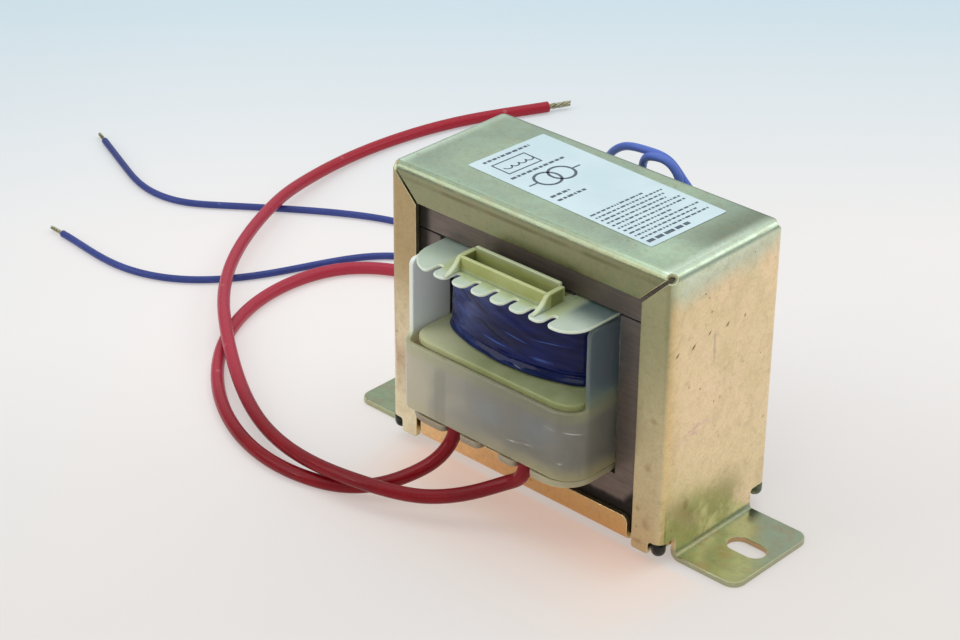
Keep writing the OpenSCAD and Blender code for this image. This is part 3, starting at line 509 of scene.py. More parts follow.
def navy_tape():
    """Glossy, very dark polyester film over the low-voltage winding."""
    m = Mat("navy_tape", IOR=1.3)
    x, y, z = m.xyz()
    slant = m.noise(0.22, 3, 0.55, 0.8, m.stretch((0.6, 0.6, 2.0), rot=(0, 14, 0)))
    broad = m.noise(0.11, 2, 0.5, 0.3)
    col = m.mix(m.span(slant, 0.35, 0.7), lin(6, 13, 60), lin(14, 24, 86))
    # a paler violet sheen, painted up on the left along the film's slanting streaks
    upper_left_sheen = m.math("MULTIPLY", m.span(m.math("SUBTRACT", m.math("MULTIPLY", z, 0.9), x), 30, 44), m.span(slant, 0.3, 0.62))
    col = m.mix(m.math("MULTIPLY", upper_left_sheen, 0.75), col, lin(84, 96, 150))
    # a broad violet sheen painted over the left of the film
    col = m.mix(m.math("MULTIPLY", m.span(broad, 0.5, 0.66, 0, 0.5), m.span(x, 2, -6)), col, lin(52, 44, 92))
    crease = m.noise(0.3, 0, 0.5, 0.3, m.stretch((0.14, 0.14, 1.2), loc=(3, 8, 1), rot=(0, 7, 0)))
    # painted highlights where the folds catch the light
    fold = most(m, *[m.blob(x, z, a, b, ra, rb, t, 0.0, 0.5) for a, b, ra, rb, t in FILM_FOLD_HIGHLIGHTS])
    col = m.mix(m.math("MULTIPLY", fold, 0.6), col, lin(70, 100, 176))
    low = m.span(z, 29.3, 28.5)
    col = m.mix(m.math("MULTIPLY", low, 0.6), col, lin(14, 30, 72))
    rough = m.span(m.noise(0.5, 3, 0.6), 0.3, 0.7, 0.05, 0.12)
    nrm = m.bump(crease, 0.22)
    return m.out(Base_Color=col, Roughness=rough, Normal=m.bump(m.noise(0.9, 3, 0.5), 0.03, normal=nrm))


def sticker():
    m = Mat("sticker_film", Coat_Weight=0.25, Coat_Roughness=0.3)
    cloud = m.noise(0.1, 3, 0.5, 0.2)
    col = m.mix(m.span(cloud, 0.3, 0.7), lin(200, 219, 225), lin(210, 227, 232))
    fibre = m.noise(5.0, 3, 0.7)
    col = m.mix(m.span(fibre, 0.5, 0.9, 0, 0.10), col, lin(190, 200, 212))
    cut = m.attr("cut")
    col = m.mix(m.math("MULTIPLY", cut, 0.5), col, lin(206, 212, 214))
    nrm = m.bump(m.noise(0.12, 2, 0.5, 0.3), 0.12)
    return m.out(Base_Color=col, Roughness=m.span(cloud, 0.3, 0.7, 0.42, 0.5), Normal=m.bump(fibre, 0.004, normal=nrm))


def print_ink():
    m = Mat("grey_print")
    f = m.noise(3.2, 3, 0.7)
    col = m.mix(m.span(f, 0.35, 0.7), lin(64, 72, 88), lin(104, 114, 130))
    return m.out(Base_Color=col, Roughness=m.span(f, 0.3, 0.7, 0.45, 0.6))


def pvc(name, base, dark, rub, sheen, wear, tints):
    m = Mat(name, IOR=1.28, Subsurface_Weight=0.1, Subsurface_Scale=0.0006, Coat_Weight=0.06, Coat_Roughness=0.1)
    cloud = m.noise(0.12, 3, 0.5, 0.3)
    fine = m.noise(1.7, 4, 0.6)
    col = m.mix(m.span(cloud, 0.3, 0.7), lin(*base), lin(*dark))
    col = m.mix(m.span(fine, 0.5, 0.8, 0, 0.3), col, lin(*rub))
    # painted light: the jacket is painted lighter along stretches that lie in open light, and darker at the far ends
    # of the blue leads
    x, y, z = m.xyz()
    along = {"away": m.math("ADD", m.math("MULTIPLY", x, -0.68), m.math("MULTIPLY", y, 0.73)), "up": z, "x": x}
    for field, start, end, tint in tints:
        col = m.mix(m.span(along[field], start, end, 0, 0.85), col, lin(*tint))
    nick = m.math("MULTIPLY", m.span(m.cells(0.16, m.stretch((1, 1, 1), loc=(5, 1, 3))), 0.1, 0.05), wear)
    col = m.mix(nick, col, lin(*sheen))
    rough = m.math("ADD", m.span(fine, 0.3, 0.7, 0.27, 0.36), m.math("MULTIPLY", nick, 0.15))
    return m.out(Base_Color=col, Roughness=rough, Normal=m.bump(m.noise(0.8, 3, 0.6), 0.05))


def tinned():
    m = Mat("tinned_strands", Metallic=1.0)
    f = m.noise(1.6, 3, 0.6)
    col = m.mix(m.span(f, 0.35, 0.65), lin(150, 146, 118), lin(196, 190, 164))
    col = m.mix(m.span(m.noise(0.7, 2), 0.5, 0.7, 0, 0.5), col, lin(120, 98, 66))
    return m.out(Base_Color=col, Roughness=m.span(f, 0.3, 0.7, 0.26, 0.42), Normal=m.bump(m.noise(4, 2), 0.01))


MATS = {
    "zinc_sheet": zinc(),
    "zinc_plate": zinc("zinc_chromate_plate", True),
    "dark_lug": lug_metal(),
    "lamination": lamination(),
    "nylon": nylon("nylon_comb", (196, 207, 194), (188, 202, 184), (236, 242, 224), True),
    "trough": nylon("nylon_trough", (176, 180, 118), (166, 170, 102), (206, 212, 168)),
    "mid": nylon("nylon_mid_flange", (176, 181, 136), (162, 168, 120), (126, 130, 66)),
    "cover_nylon": cover_plastic(),
    "pale_tape": pale_tape(),
    "navy_tape": navy_tape(),
    "sticker": sticker(),
    "ink": print_ink(),
    "red_pvc": pvc("red_pvc", (132, 10, 22), (116, 7, 19), (150, 28, 40), (206, 120, 128), 0.35,
                   [("away", 4, 34, (180, 54, 74)), ("away", 84, 112, (166, 34, 50))]),
    "blue_pvc": pvc("blue_pvc", (62, 74, 142), (54, 66, 130), (78, 92, 160), (140, 156, 214), 0.35,
                    [("up", 22, 42, (96, 122, 206)), ("x", -118, -144, (50, 58, 116))]),
    "tinned_strands": tinned(),
}

# ---------------------------------------------------------------- mesh helpers

def piece(name, verts, faces, mat, nodes=(), cut=None, sharp=None, weighted=True):
    """A mesh piece in the row frame, riding on the one body."""
    me = bpy.data.meshes.new(name)
    me.from_pydata([(x * MM, y * MM, z * MM) for x, y, z in verts], [], faces)
    if cut is not None:
        me.attributes.new("cut", "FLOAT", "POINT").data.foreach_set("value", cut)
    bm = bmesh.new()
    bm.from_mesh(me)
    bmesh.ops.recalc_face_normals(bm, faces=bm.faces)
    bm.to_mesh(me)
    bm.free()
    me.polygons.foreach_set("use_smooth", [True] * len(me.polygons))
    if sharp is not None:
        me.set_sharp_from_angle(angle=math.radians(sharp))
    me.materials.append(MATS[mat])
    o = bpy.data.objects.new(name, me)
    bpy.context.scene.collection.objects.link(o)
    if weighted:
        w = o.modifiers.new("weighted_normals", "WEIGHTED_NORMAL")
        w.mode = "FACE_AREA_WITH_ANGLE"
        w.weight = 90
        w.keep_sharp = True
    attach(o, "root")
    if nodes:
        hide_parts(*nodes)
    return o


def arc(cx, cy, r, a0, a1, n=6):
    """Points of an arc from angle a0 to a1 in degrees."""
    return [(cx + r * math.cos(math.radians(a0 + (a1 - a0) * k / n)), cy + r * math.sin(math.radians(a0 + (a1 - a0) * k / n)))
            for k in range(n + 1)]


def clean(loop, eps=1e-4):
    out = []
    for p in loop:
        if not out or math.hypot(p[0] - out[-1][0], p[1] - out[-1][1]) > eps:
            out.append(p)
    if math.hypot(out[0][0] - out[-1][0], out[0][1] - out[-1][1]) < eps:
        out.pop()
    return out


def area(loop):
    return 0.5 * sum(a[0] * b[1] - b[0] * a[1] for a, b in zip(loop, loop[1:] + loop[:1]))


def rounded(loop, r, n=4):
    """A polygon with every corner rounded; r is one radius or one for each corner."""
    rs = r if isinstance(r, (list, tuple)) else [r] * len(loop)
    out = []
    for i, p in enumerate(loop):
        rad = rs[i]
        if rad <= 0:
            out.append(p)
            continue
        p = Vector(p)
        a, b = Vector(loop[i - 1]) - p, Vector(loop[(i + 1) % len(loop)]) - p
        la, lb = a.length, b.length
        a, b = a / la, b / lb
        ang = math.acos(max(-1, min(1, a.dot(b))))
        d = min(rad / math.tan(ang / 2), 0.48 * la, 0.48 * lb)
        p0, p1 = p + a * d, p + b * d
        for k in range(n + 1):
            t = k / n
            q = p0 * (1 - t) ** 2 + p * 2 * t * (1 - t) + p1 * t ** 2
            out.append((q.x, q.y))
    return out


def offset(loop, b):
    """The loop moved b towards its left side."""
    out, n = [], len(loop)
    for i in range(n):
        p0, p1, p2 = (Vector(loop[j % n]) for j in (i - 1, i, i + 1))
        d1, d2 = (p1 - p0).normalized(), (p2 - p1).normalized()
        n1, n2 = Vector((-d1.y, d1.x)), Vector((-d2.y, d2.x))
        q = p1 + (n1 + n2) * (b / max(1 + n1.dot(n2), 0.3))
        out.append((q.x, q.y))
    return out


def inside(p, loops):
    hit = False
    for loop in loops:
        for (x0, y0), (x1, y1) in zip(loop, loop[1:] + loop[:1]):
            if (y0 > p[1]) != (y1 > p[1]) and p[0] < (x1 - x0) * (p[1] - y0) / (y1 - y0) + x0:
                hit = not hit
    return hit


def slab(loops, t, bevel, steps=2, s_lines=(), t_lines=(), fold=None):
    """A flat sheet t thick with rounded edges, cut along bend lines and then folded.
    loops[0] is the outline, the others are holes. Returns vertices, faces and the edge mask."""
    shaped = []
    for i, loop in enumerate(loops):
        loop = clean(list(loop))
        if (area(loop) > 0) != (i == 0):
            loop.reverse()
        out = []
        for a, b in zip(loop, loop[1:] + loop[:1]):  # a vertex wherever a bend line crosses the outline
            cuts = [(c - a[0]) / (b[0] - a[0]) for c in s_lines if abs(b[0] - a[0]) > 1e-9]
            cuts += [(c - a[1]) / (b[1] - a[1]) for c in t_lines if abs(b[1] - a[1]) > 1e-9]
            out.append(a)
            for k in sorted(k for k in cuts if 1e-3 < k < 1 - 1e-3):
                out.append((a[0] + (b[0] - a[0]) * k, a[1] + (b[1] - a[1]) * k))
        shaped.append(clean(out, 1e-3))
    levels = []
    for k in range(steps + 1):
        a = math.pi / 2 * k / steps
        levels.append((bevel * (1 - math.sin(a)), bevel * (1 - math.cos(a))))
    levels += [(o, t - h) for o, h in reversed(levels)]
    verts, cut, faces = [], [], []
    ring0 = []  # index of the first vertex of each loop on each level
    for li, (o, h) in enumerate(levels):
        row = []
        for loop in shaped:
            row.append(len(verts))
            for p in (offset(loop, o) if o > 1e-9 else loop):
                verts.append((p[0], p[1], h))
                cut.append(0.0 if li in (0, len(levels) - 1) else 1.0)
        ring0.append(row)
    for li in range(len(levels) - 1):
        for k, loop in enumerate(shaped):
            n, a, b = len(loop), ring0[li][k], ring0[li + 1][k]
            for i in range(n):
                j = (i + 1) % n
                faces.append((a + i, a + j, b + j, b + i))
    # caps
    caps = [offset(loop, bevel) for loop in shaped]
    pts, edges = [], []
    for loop in caps:
        base = len(pts)
        pts += [Vector(p) for p in loop]
        edges += [(base + i, base + (i + 1) % len(loop)) for i in range(len(loop))]
    xs, ys = [p.x for p in pts], [p.y for p in pts]
    n_edge = len(pts)
    for c in s_lines:
        if min(xs) < c < max(xs):
            edges.append((len(pts), len(pts) + 1))
            pts += [Vector((c, min(ys) - 1)), Vector((c, max(ys) + 1))]
    for c in t_lines:
        if min(ys) < c < max(ys):
            edges.append((len(pts), len(pts) + 1))
            pts += [Vector((min(xs) - 1, c)), Vector((max(xs) + 1, c))]
    ov, oe, of, orig, _, _ = delaunay_2d_cdt(pts, edges, [], 0, 1e-5)
    keep = []
    for f in of:
        c = sum((ov[i] for i in f), Vector((0, 0))) / len(f)
        if inside(c, caps):
            keep.append(list(f))
    for top in (False, True):
        li = len(levels) - 1 if top else 0
        index = {}

        def at(i):
            if i not in index:
                known = [k for k in orig[i] if k < n_edge]
                if known:
                    k = known[0]
                    for q, loop in enumerate(shaped):
                        if k < len(loop):
                            index[i] = ring0[li][q] + k
                            break
                        k -= len(loop)
                else:
                    index[i] = len(verts)
                    verts.append((ov[i].x, ov[i].y, levels[li][1]))
                    cut.append(0.0)
            return index[i]

        for f in keep:
            g = [at(i) for i in f]
            faces.append(tuple(g) if top else tuple(reversed(g)))
    if fold:
        verts = [fold(*v) for v in verts]
    return verts, faces, cut


def merge(*parts):
    """Several (verts, faces, cut) as one."""
    verts, faces, cut = [], [], []
    for v, f, c in parts:
        base = len(verts)
        verts += v
        faces += [tuple(i + base for i in g) for g in f]
        cut += c
    return verts, faces, cut


def steps_between(a, b, n):
    return [a + (b - a) * k / n for k in range(n + 1)]


# ---------------------------------------------------------------- sizes shared with the CAD

_lo, _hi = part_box("frame_channel")
FX = 29.5                    # outside of the frame in x
FY = 13.6                    # outside of the frame in y
TOP = round(_hi.z / MM, 2)   # 52
BR = 1.5                     # outer bend radius
Q = math.pi / 2

# ---------------------------------------------------------------- folded frame

def fold_across(t, n):
    """Distance across the strip to (y, depth below the outer skin)."""
    s, t = (1 if t >= 0 else -1), abs(t)
    a = FY - BR
    if t <= a:
        return s * t, n
    if t <= a + BR * Q:
        k = (t - a) / BR
        return s * (a + (BR - n) * math.sin(k)), BR - (BR - n) * math.cos(k)
    return s * (FY - n), BR + (t - a - BR * Q)


S1 = FX - BR
S2 = S1 + BR * Q
EZ = 1.6                     # height of the ear bend's axis
ER = 0.6                     # its inner radius
S3 = S2 + (TOP - BR - EZ)
S4 = S3 + ER * Q
S5 = S4 + 41.6 - 30.1


def fold_along(s, d):
    g, s = (1 if s >= 0 else -1), abs(s)
    if s <= S1:
        return g * s, TOP - d
    if s <= S2:
        k = (s - S1) / BR
        return g * (S1 + (BR - d) * math.sin(k)), TOP - BR + (BR - d) * math.cos(k)
    if s <= S3:
        return g * (FX - d), TOP - BR - (s - S2)
    if s <= S4:
        k = (s - S3) / ER
        return g * (30.1 - (ER + d) * math.cos(k)), EZ - (ER + d) * math.sin(k)
    return g * (30.1 + s - S4), EZ - ER - d


def fold_frame(s, t, n):
    y, d = fold_across(t, n)
    x, z = fold_along(s, d)
    return x, y, z


def frame_outline():
    a = FY - BR
    edge = a + BR * Q + 5.9 - BR          # free edge of a flange
    def sz(z):                            # strip position of a height on the side
        return S2 + TOP - BR - z
    q = [(FX - 5.9 - 0.39, edge), (FX - BR - 0.39, edge - 5.9 + BR), (28.02, 13.95)]
    q += arc(29.18, 13.38, 1.2, 165, 375, 10)
    q += [(30.34, 13.95), (sz(TOP - BR - 0.39), edge - 5.9 + BR), (sz(TOP - 5.9 - 0.39), edge)]
    q += arc(sz(1.95) - 0.5, edge - 0.5, 0.5, 90, 0, 3)
    q += [(sz(1.95), edge - 5.9 + 2.9)]
    q += arc(sz(1.95) - 0.4, edge - 5.9 + 2.9, 0.4, 0, -90, 3)
    q += [(sz(4.3) + 0.5, edge - 5.9 + 2.5)] + arc(sz(4.3) + 0.5, edge - 5.9 + 2.0, 0.5, 90, 180, 3)
    q += [(sz(4.3), 10.15)] + arc(sz(4.3) + 0.5, 10.15, 0.5, 180, 270, 3)
    q += arc(S5 - 2.2, 9.65 - 2.2, 2.2, 90, 0, 8)
    q = [(s, t) for s, t in q]
    loop = q + [(s, -t) for s, t in reversed(q)]
    return clean(loop + [(-s, -t) for s, t in q] + [(-s, t) for s, t in reversed(q)])


def build_frame():
    loops = [frame_outline()]
    for g in (1, -1):
        c = g * (S4 + 36.3 - 30.1)
        loops.append(arc(c - 1.5, 0, 2, 90, 270, 12) + arc(c + 1.5, 0, 2, -90, 90, 12))
    s = steps_between(S1, S2, 8) + steps_between(S3, S4, 6)
    s += [S2 + 6 * k for k in range(1, 8)] + [7, 14, 21]
    s = sorted(s + [-v for v in s] + [0])
    a = FY - BR
    t = steps_between(a, a + BR * Q, 8)
    t = sorted(t + [-v for v in t] + [-6, 0, 6])
    v, f, c = slab(loops, 1.0, 0.14, 3, s, t, fold_frame)
    return piece("folded_frame", v, f, "zinc_sheet", ["frame_channel"], c)


# ---------------------------------------------------------------- base plate

PZ = 2.5
PR = 1.2


def fold_plate(x, t, n):
    s, t = (1 if t >= 0 else -1), abs(t)
    a = FY - PR
    if t <= a:
        return x, s * t, PZ + n
    if t <= a + PR * Q:
        k = (t - a) / PR
        return x, s * (a + (PR - n) * math.sin(k)), PZ + PR - (PR - n) * math.cos(k)
    return x, s * (FY - n), PZ + PR + (t - a - PR * Q)


def build_plate():
    a = FY - PR
    edge = a + PR * Q + 6.9 - PZ - PR
    q = [(0, edge)] + arc(22.7 - 1.3, edge - 1.3, 1.3, 90, 0, 6)
    q += [(22.7, 12.7)] + arc(22.95, 12.7, 0.25, 180, 270, 2) + [(26.9, 12.45), (26.9, 10.9), (28.4, 10.9)]
    loop = q + [(x, -t) for x, t in reversed(q)]
    loop = clean(loop + [(-x, -t) for x, t in q] + [(-x, t) for x, t in reversed(q)])
    t = steps_between(a, a + PR * Q, 7)
    t = sorted(t + [-v for v in t])
    v, f, c = slab([loop], 1.0, 0.13, 3, [-15, -7, 0, 7, 15], t, fold_plate)
    return piece("folded_base_plate", v, f, "zinc_plate", ["base_plate"], c)


def build_lugs():
    prof = [(0, 1.9), (0.45, 1.94), (0.8, 2.1), (1.06, 2.4), (1.18, 2.8), (1.2, 3.2), (1.2, 3.75), (1.16, 4.1), (1.02, 4.2),
            (0.84, 4.08), (0.74, 3.8), (0.5, 3.62), (0, 3.58)]
    for fb, sy in (("front", -1), ("back", 1)):
        for lr, sx in (("left", -1), ("right", 1)):
            cx, cy, n = 28.25, 12.35, 28
            seed = rng.uniform(0, 50)
            verts, faces, cut = [], [], []
            for r, z in prof:
                for k in range(n if r else 1):
                    a = 2 * math.pi * k / n
                    w = 1 + 0.05 * noise.noise(Vector((math.cos(a) * 1.3 + seed, math.sin(a) * 1.3, z)))
                    w = min(w, 1.0) if r > 1.0 else w
                    verts.append((sx * (cx + r * w * math.cos(a)), sy * (cy + r * w * math.sin(a)),
                                  z + (0.04 * noise.noise(Vector((a, seed, r))) if 1.95 < z < 4.1 else 0)))
                    cut.append(0.0)
            rows, i = [], 0
            for r, z in prof:
                rows.append([i] if not r else list(range(i, i + n)))
                i += len(rows[-1])
            for p, q in zip(rows, rows[1:]):
                for k in range(n):
                    j = (k + 1) % n
                    if len(p) == 1:
                        faces.append((p[0], q[j], q[k]))
                    elif len(q) == 1:
                        faces.append((p[k], p[j], q[0]))
                    else:
                        faces.append((p[k], p[j], q[j], q[k]))
            # the neck that joins the lug to the plate
            neck = slab([[(26.9, 11.3), (27.9, 11.3), (28.25, 11.8), (27.7, 12.3), (26.9, 12.3)]], 1.0, 0.1, 2, (), (),
                        lambda x, y, h: (sx * x, sy * y, PZ + h))
            v, f, c = merge((verts, faces, cut), neck)
            piece(f"clinched_lug_{fb}_{lr}", v, f, "dark_lug", [f"clinch_lug_{fb}_{lr}"], c)


# ---------------------------------------------------------------- core

def lamination_stack(name, node, outline, z_shift=0.0):
    """Fifty stamped sheets, each a hair out of line with its neighbours."""
    parts = []
    n, pitch = 50, 25.2 / 50
    for k in range(n):
        y0 = -12.6 + k * pitch
        edge = k in (0, n - 1)
        dx, dz = (0, 0) if edge else (rng.uniform(-0.04, 0.04), rng.uniform(-0.03, 0.03))
        loop = [(x + dx, z + dz + z_shift) for x, z in outline]
        parts.append(slab([loop], 0.47, 0.05, 1, (), (), lambda x, z, h: (x, y0 + 0.017 + h, z)))
    v, f, c = merge(*parts)
    return piece(name, v, f, "lamination", [node], c)


def build_core():
    e = [(-28.42, 3.55), (28.42, 3.55), (28.42, 41.38), (19, 41.38), (19, 13), (9.5, 13), (9.5, 41.38), (-9.5, 41.38),
         (-9.5, 13), (-19, 13), (-19, 41.38), (-28.42, 41.38)]
    lamination_stack("lamination_e_stack", "core_e_stack", e)
    i = [(-28.42, 41.68), (28.42, 41.68), (28.42, 50.95), (-28.42, 50.95)]
    lamination_stack("lamination_i_stack", "core_i_stack", i)


# ---------------------------------------------------------------- bobbin

TUBE = [(-10.4, -13.5), (10.4, -13.5), (10.4, 13.5), (-10.4, 13.5)]


def lobe(x0, r):
    """The round end of a comb edge towards -y, from the last slot outwards."""
    c = 18.25 - r
    if c > x0 + 1.1:
        return arc(x0 + 1.1, -21.6, 1.1, 180, 270, 5) + arc(c, -22.7 + r, r, 270, 360, 12)
    a0 = 360 - math.degrees(math.acos((x0 + 1.0 - c) / r))
    e = arc(c, -22.7 + r, r, a0, 360, 12)
    p, m, q = Vector((x0, -21.5)), Vector((x0, e[0][1] - 0.16)), Vector(e[0])
    return [tuple(p * (1 - t) ** 2 + m * 2 * t * (1 - t) + q * t ** 2) for t in (0, 0.2, 0.4, 0.6, 0.8)] + e


def comb_edge(slots, rl, rr):
    """One long edge of a comb flange, from left to right, towards -y."""
    first, last = slots[0], slots[-1]
    e = [(-x, y) for x, y in reversed(lobe(-first[0] + first[1] / 2, rl))]
    for i, (c, w) in enumerate(slots):
        r = min(w / 2, 0.9)
        e += arc(c - w / 2 + r, -20, r, 180, 90, 5) + arc(c + w / 2 - r, -20, r, 90, 0, 5)
        if i + 1 < len(slots):
            x0, x1 = c + w / 2, slots[i + 1][0] - slots[i + 1][1] / 2
            r = min(1.2, (x1 - x0) / 2 - 0.01)
            e += arc(x0 + r, -22.7 + r, r, 180, 270, 5) + arc(x1 - r, -22.7 + r, r, 270, 360, 5)
    return e + lobe(last[0] + last[1] / 2, rr)


def comb(name, node, z, t, front, rear, rl, rr):
    loop = comb_edge(front, rl, rr) + [(x, -y) for x, y in reversed(comb_edge(rear, rl, rr))]
    v, f, c = slab([loop, TUBE], t, min(0.22, 0.4 * t), 3, [-16, -8, 0, 8, 16], [-17, -9, 0, 9, 17], lambda x, y, h: (x, y, z + h))
    return piece(name, v, f, "nylon", [node], c)


def build_bobbin():
    plain = [(4 * i, 1.0) for i in range(-3, 4)]
    rear = [(4, 1.8) if i == 1 else (7.7, 1.8) if i == 2 else (4 * i, 1.0) for i in range(-3, 4)]
    front = [(-7.1, 3.0), (0.85, 3.7), (8.1, 2.8)]
    comb("comb_flange_top", "top_comb_flange", 40.8, 0.5, plain, rear, 6.5, 4.3)
    comb("comb_flange_bottom", "bottom_comb_flange", 13.1, 1.2, front, plain, 5.5, 5.5)
    loop = rounded([(-17.5, -21.45), (17.5, -21.45), (17.5, 21.45), (-17.5, 21.45)], 4.6, 9)
    v, f, c = slab([loop, TUBE], 1.2, 0.2, 3, (), (), lambda x, y, h: (x, y, 26.4 + h))
    piece("flange_middle", v, f, "mid", ["mid_flange"], c)
    for side, sy in (("front", 1), ("rear", -1)):
        parts = []
        wall = rounded([(-8.65, 41.25), (9.05, 41.25), (9.05, 43.8), (-8.65, 43.8)], [0, 0, 0.15, 0.15], 2)
        parts.append(slab([wall], 0.7, 0.14, 2, (), [42, 42.6, 43.2], lambda x, z, h: (x, sy * (-18.9 + h), z)))
        back = rounded([(-8.65, 41.25), (9.05, 41.25), (9.05, 44.3), (-8.65, 44.3)], [0, 0, 0.2, 0.2], 2)
        parts.append(slab([back], 0.7, 0.14, 2, (), [42, 42.8, 43.6], lambda x, z, h: (x, sy * (-15.5 + h), z)))
        nose = [(-22.15, 41.25), (-15.0, 41.25), (-15.0, 43.8), (-15.8, 43.82), (-18.65, 43.8), (-19.1, 43.45), (-19.5, 42.95),
                (-20.0, 42.45), (-20.7, 41.98), (-21.5, 41.62), (-22.1, 41.42)]
        nose = rounded(nose, [0, 0, 0.2, 0, 0.4, 0.4, 0.6, 0.6, 0.6, 0.5, 0.1], 3)
        for x0 in (-9.4, 8.9):
            parts.append(slab([nose], 0.9, 0.2, 3, (), (), lambda y, z, h: (x0 + h, sy * y, z)))
        v, f, c = merge(*parts)
        piece(f"wire_trough_tray_{side}", v, f, "trough", [f"{side}_wire_trough"], c)


# ---------------------------------------------------------------- windings

def ring_points(corners, r, n):
    """n points evenly along a rounded polygon."""
    loop = rounded(corners, r, 8)
    seg = [math.dist(a, b) for a, b in zip(loop, loop[1:] + loop[:1])]
    total, out, i, acc = sum(seg), [], 0, 0.0
    for k in range(n):
        d = total * k / n
        while acc + seg[i] < d:
            acc += seg[i]
            i += 1
        t = (d - acc) / seg[i]
        a, b = loop[i], loop[(i + 1) % len(loop)]
        out.append((a[0] + (b[0] - a[0]) * t, a[1] + (b[1] - a[1]) * t))
    return out


def wound(name, nodes, ring, levels, shape, mat, slot, inner=TUBE):
    """A wound body: the ring at each level, moved out by shape(point, level, place along the ring)."""
    n = len(ring)
    centre = [Vector(p) for p in ring]
    normal = []
    for i in range(n):
        d = (centre[(i + 1) % n] - centre[i - 1]).normalized()
        normal.append(Vector((d.y, -d.x)))
    if area([tuple(p) for p in centre]) < 0:
        normal = [-q for q in normal]
    verts, faces = [], []
    hole = ring_points(inner, 0.3, n)
    # start both rings at the same angle
    for z in levels:
        for i in range(n):
            p = centre[i] + normal[i] * shape(centre[i], z, i / n)
            verts.append((p.x, p.y, z))
    top = len(levels)
    for li in range(top - 1):
        for i in range(n):
            j = (i + 1) % n
            faces.append((li * n + i, li * n + j, (li + 1) * n + j, (li + 1) * n + i))
    order = []
    for i in range(n):
        a = math.atan2(centre[i].y, centre[i].x)
        k = max(abs(math.cos(a)) / 10.45, abs(math.sin(a)) / 13.55)
        order.append((math.cos(a) / k, math.sin(a) / k))
    for li in (0, top - 1):
        base = len(verts)
        for x, y in order:
            verts.append((x, y, levels[li]))
        for i in range(n):
            j = (i + 1) % n
            a, b = li * n + i, li * n + j
            faces.append((a, b, base + j, base + i) if li else (b, a, base + i, base + j))
    return verts, faces


def build_windings():
    # lower winding: brown-white tape in level turns, with a pad over each lead joint
    ring = ring_points([(-17, -20), (17, -20), (17, 20), (-17, 20)], 5, 300)
    levels = steps_between(14.35, 26.35, 44)

    def lower(p, z, u):
        k = 0.12 * noise.noise(Vector((p.x * 0.12, p.y * 0.12, z * 0.9))) - 0.12
        k += 0.05 * math.sin(z * 3.4)
        if p.y < -19:
            for cx in (-7.2, 8.2):
                k += 1.45 * max(0, 1 - (abs(p.x - cx) / 1.5) ** 4) * max(0, min(1, (23.6 - z) / 1.4))
        return k
    v, f = wound("lower_winding_tape", ["lower_winding"], ring, levels, lower, "pale_tape", "pale_tape")
    piece("lower_winding_wrap", v, f, "pale_tape", ["lower_winding"], None, 50, False)

    # upper winding: stiff navy film, pulled smooth over the bulge and creased where it laps
    a0 = math.degrees(math.atan2(-math.sqrt(34 ** 2 - 15.6 ** 2), 15.6))
    front = arc(0, 15.3, 34, -180 - a0, a0, 40)
    ring = smooth_ring(front + [(-x, -y) for x, y in front], 420, 26)
    levels = [27.62, 27.7, 27.85] + steps_between(28.0, 40.4, 76) + [40.6, 40.78]

    def upper(p, z, u):
        x, y = p.x, p.y
        q = x if y < 0 else -x
        k = -0.36
        # a rolled lower hem with a deep groove above it
        k += 0.3 * math.exp(-((z - 28.3) / 0.45) ** 2) - 0.3 * math.exp(-((z - 29.3) / 0.26) ** 2)
        k += 0.12 * math.exp(-((z - 29.95) / 0.3) ** 2)
        # lapped ends of the film as low slanting steps
        for z0, slope, h, w in ((33.6, -0.11, 0.10, 0.22), (36.4, -0.20, 0.08, 0.3), (31.2, 0.04, 0.07, 0.2)):
            k += h / (1 + math.exp((z - (z0 + slope * q)) / w))
        # pulled creases that run down to the right
        s = z + 0.33 * q
        k += 0.17 * noise.noise(Vector((q * 0.05, s * 0.42, 3.1)))
        k += 0.10 * noise.noise(Vector((q * 0.13, (z + 0.18 * q) * 0.9, 9.7)))
        k += 0.12 * max(0, noise.noise(Vector((q * 0.09 + 4, s * 0.8, 1.7))))
        # one sharp pucker low on the right of the front
        k += 0.13 * math.exp(-((q - 5.2) / 2.2) ** 2 - ((z - 31.0 + 0.3 * (q - 5.2)) / 0.28) ** 2)
        edge = min(z - 27.62, 40.78 - z)
        k -= 0.35 * max(0, 1 - edge / 0.35) ** 2
        if y > 0 and 2.0 < x < 9.8:  # taped pad where the two leads come out at the rear
            k += 3.0 * smooth01((z - 33.5) / 5.0) * smooth01((x - 2.0) / 1.2) * smooth01((9.8 - x) / 1.2)
        return k
    v, f = wound("upper_winding_tape", ["upper_winding_tape"], ring, levels, upper, "navy_tape", "navy_tape")
    piece("upper_winding_film", v, f, "navy_tape", ["upper_winding_tape"], None, 60, False)


def smooth01(x):
    x = max(0.0, min(1.0, x))
    return x * x * (3 - 2 * x)


def smooth_ring(loop, n, passes):
    """Even points along a closed loop, with its corners eased by averaging."""
    seg = [math.dist(a, b) for a, b in zip(loop, loop[1:] + loop[:1])]
    total, out, i, acc = sum(seg), [], 0, 0.0
    for k in range(n):
        d = total * k / n
        while acc + seg[i] < d:
            acc += seg[i]
            i += 1
        t = (d - acc) / max(seg[i], 1e-9)
        a, b = loop[i], loop[(i + 1) % len(loop)]
        out.append(Vector((a[0] + (b[0] - a[0]) * t, a[1] + (b[1] - a[1]) * t)))
    for _ in range(passes):
        out = [(out[k - 1] + out[k] * 2 + out[(k + 1) % n]) / 4 for k in range(n)]
        out = [(out[k - 2] + out[k] * 2 + out[(k + 2) % n]) / 4 for k in range(n)]
    return [tuple(p) for p in out]


# ---------------------------------------------------------------- covers

CR = {1: 4.7, -1: 2.2}       # outer radii of the cover's right and left corners
CX, CY = 18.5, -22.5         # its side and front faces


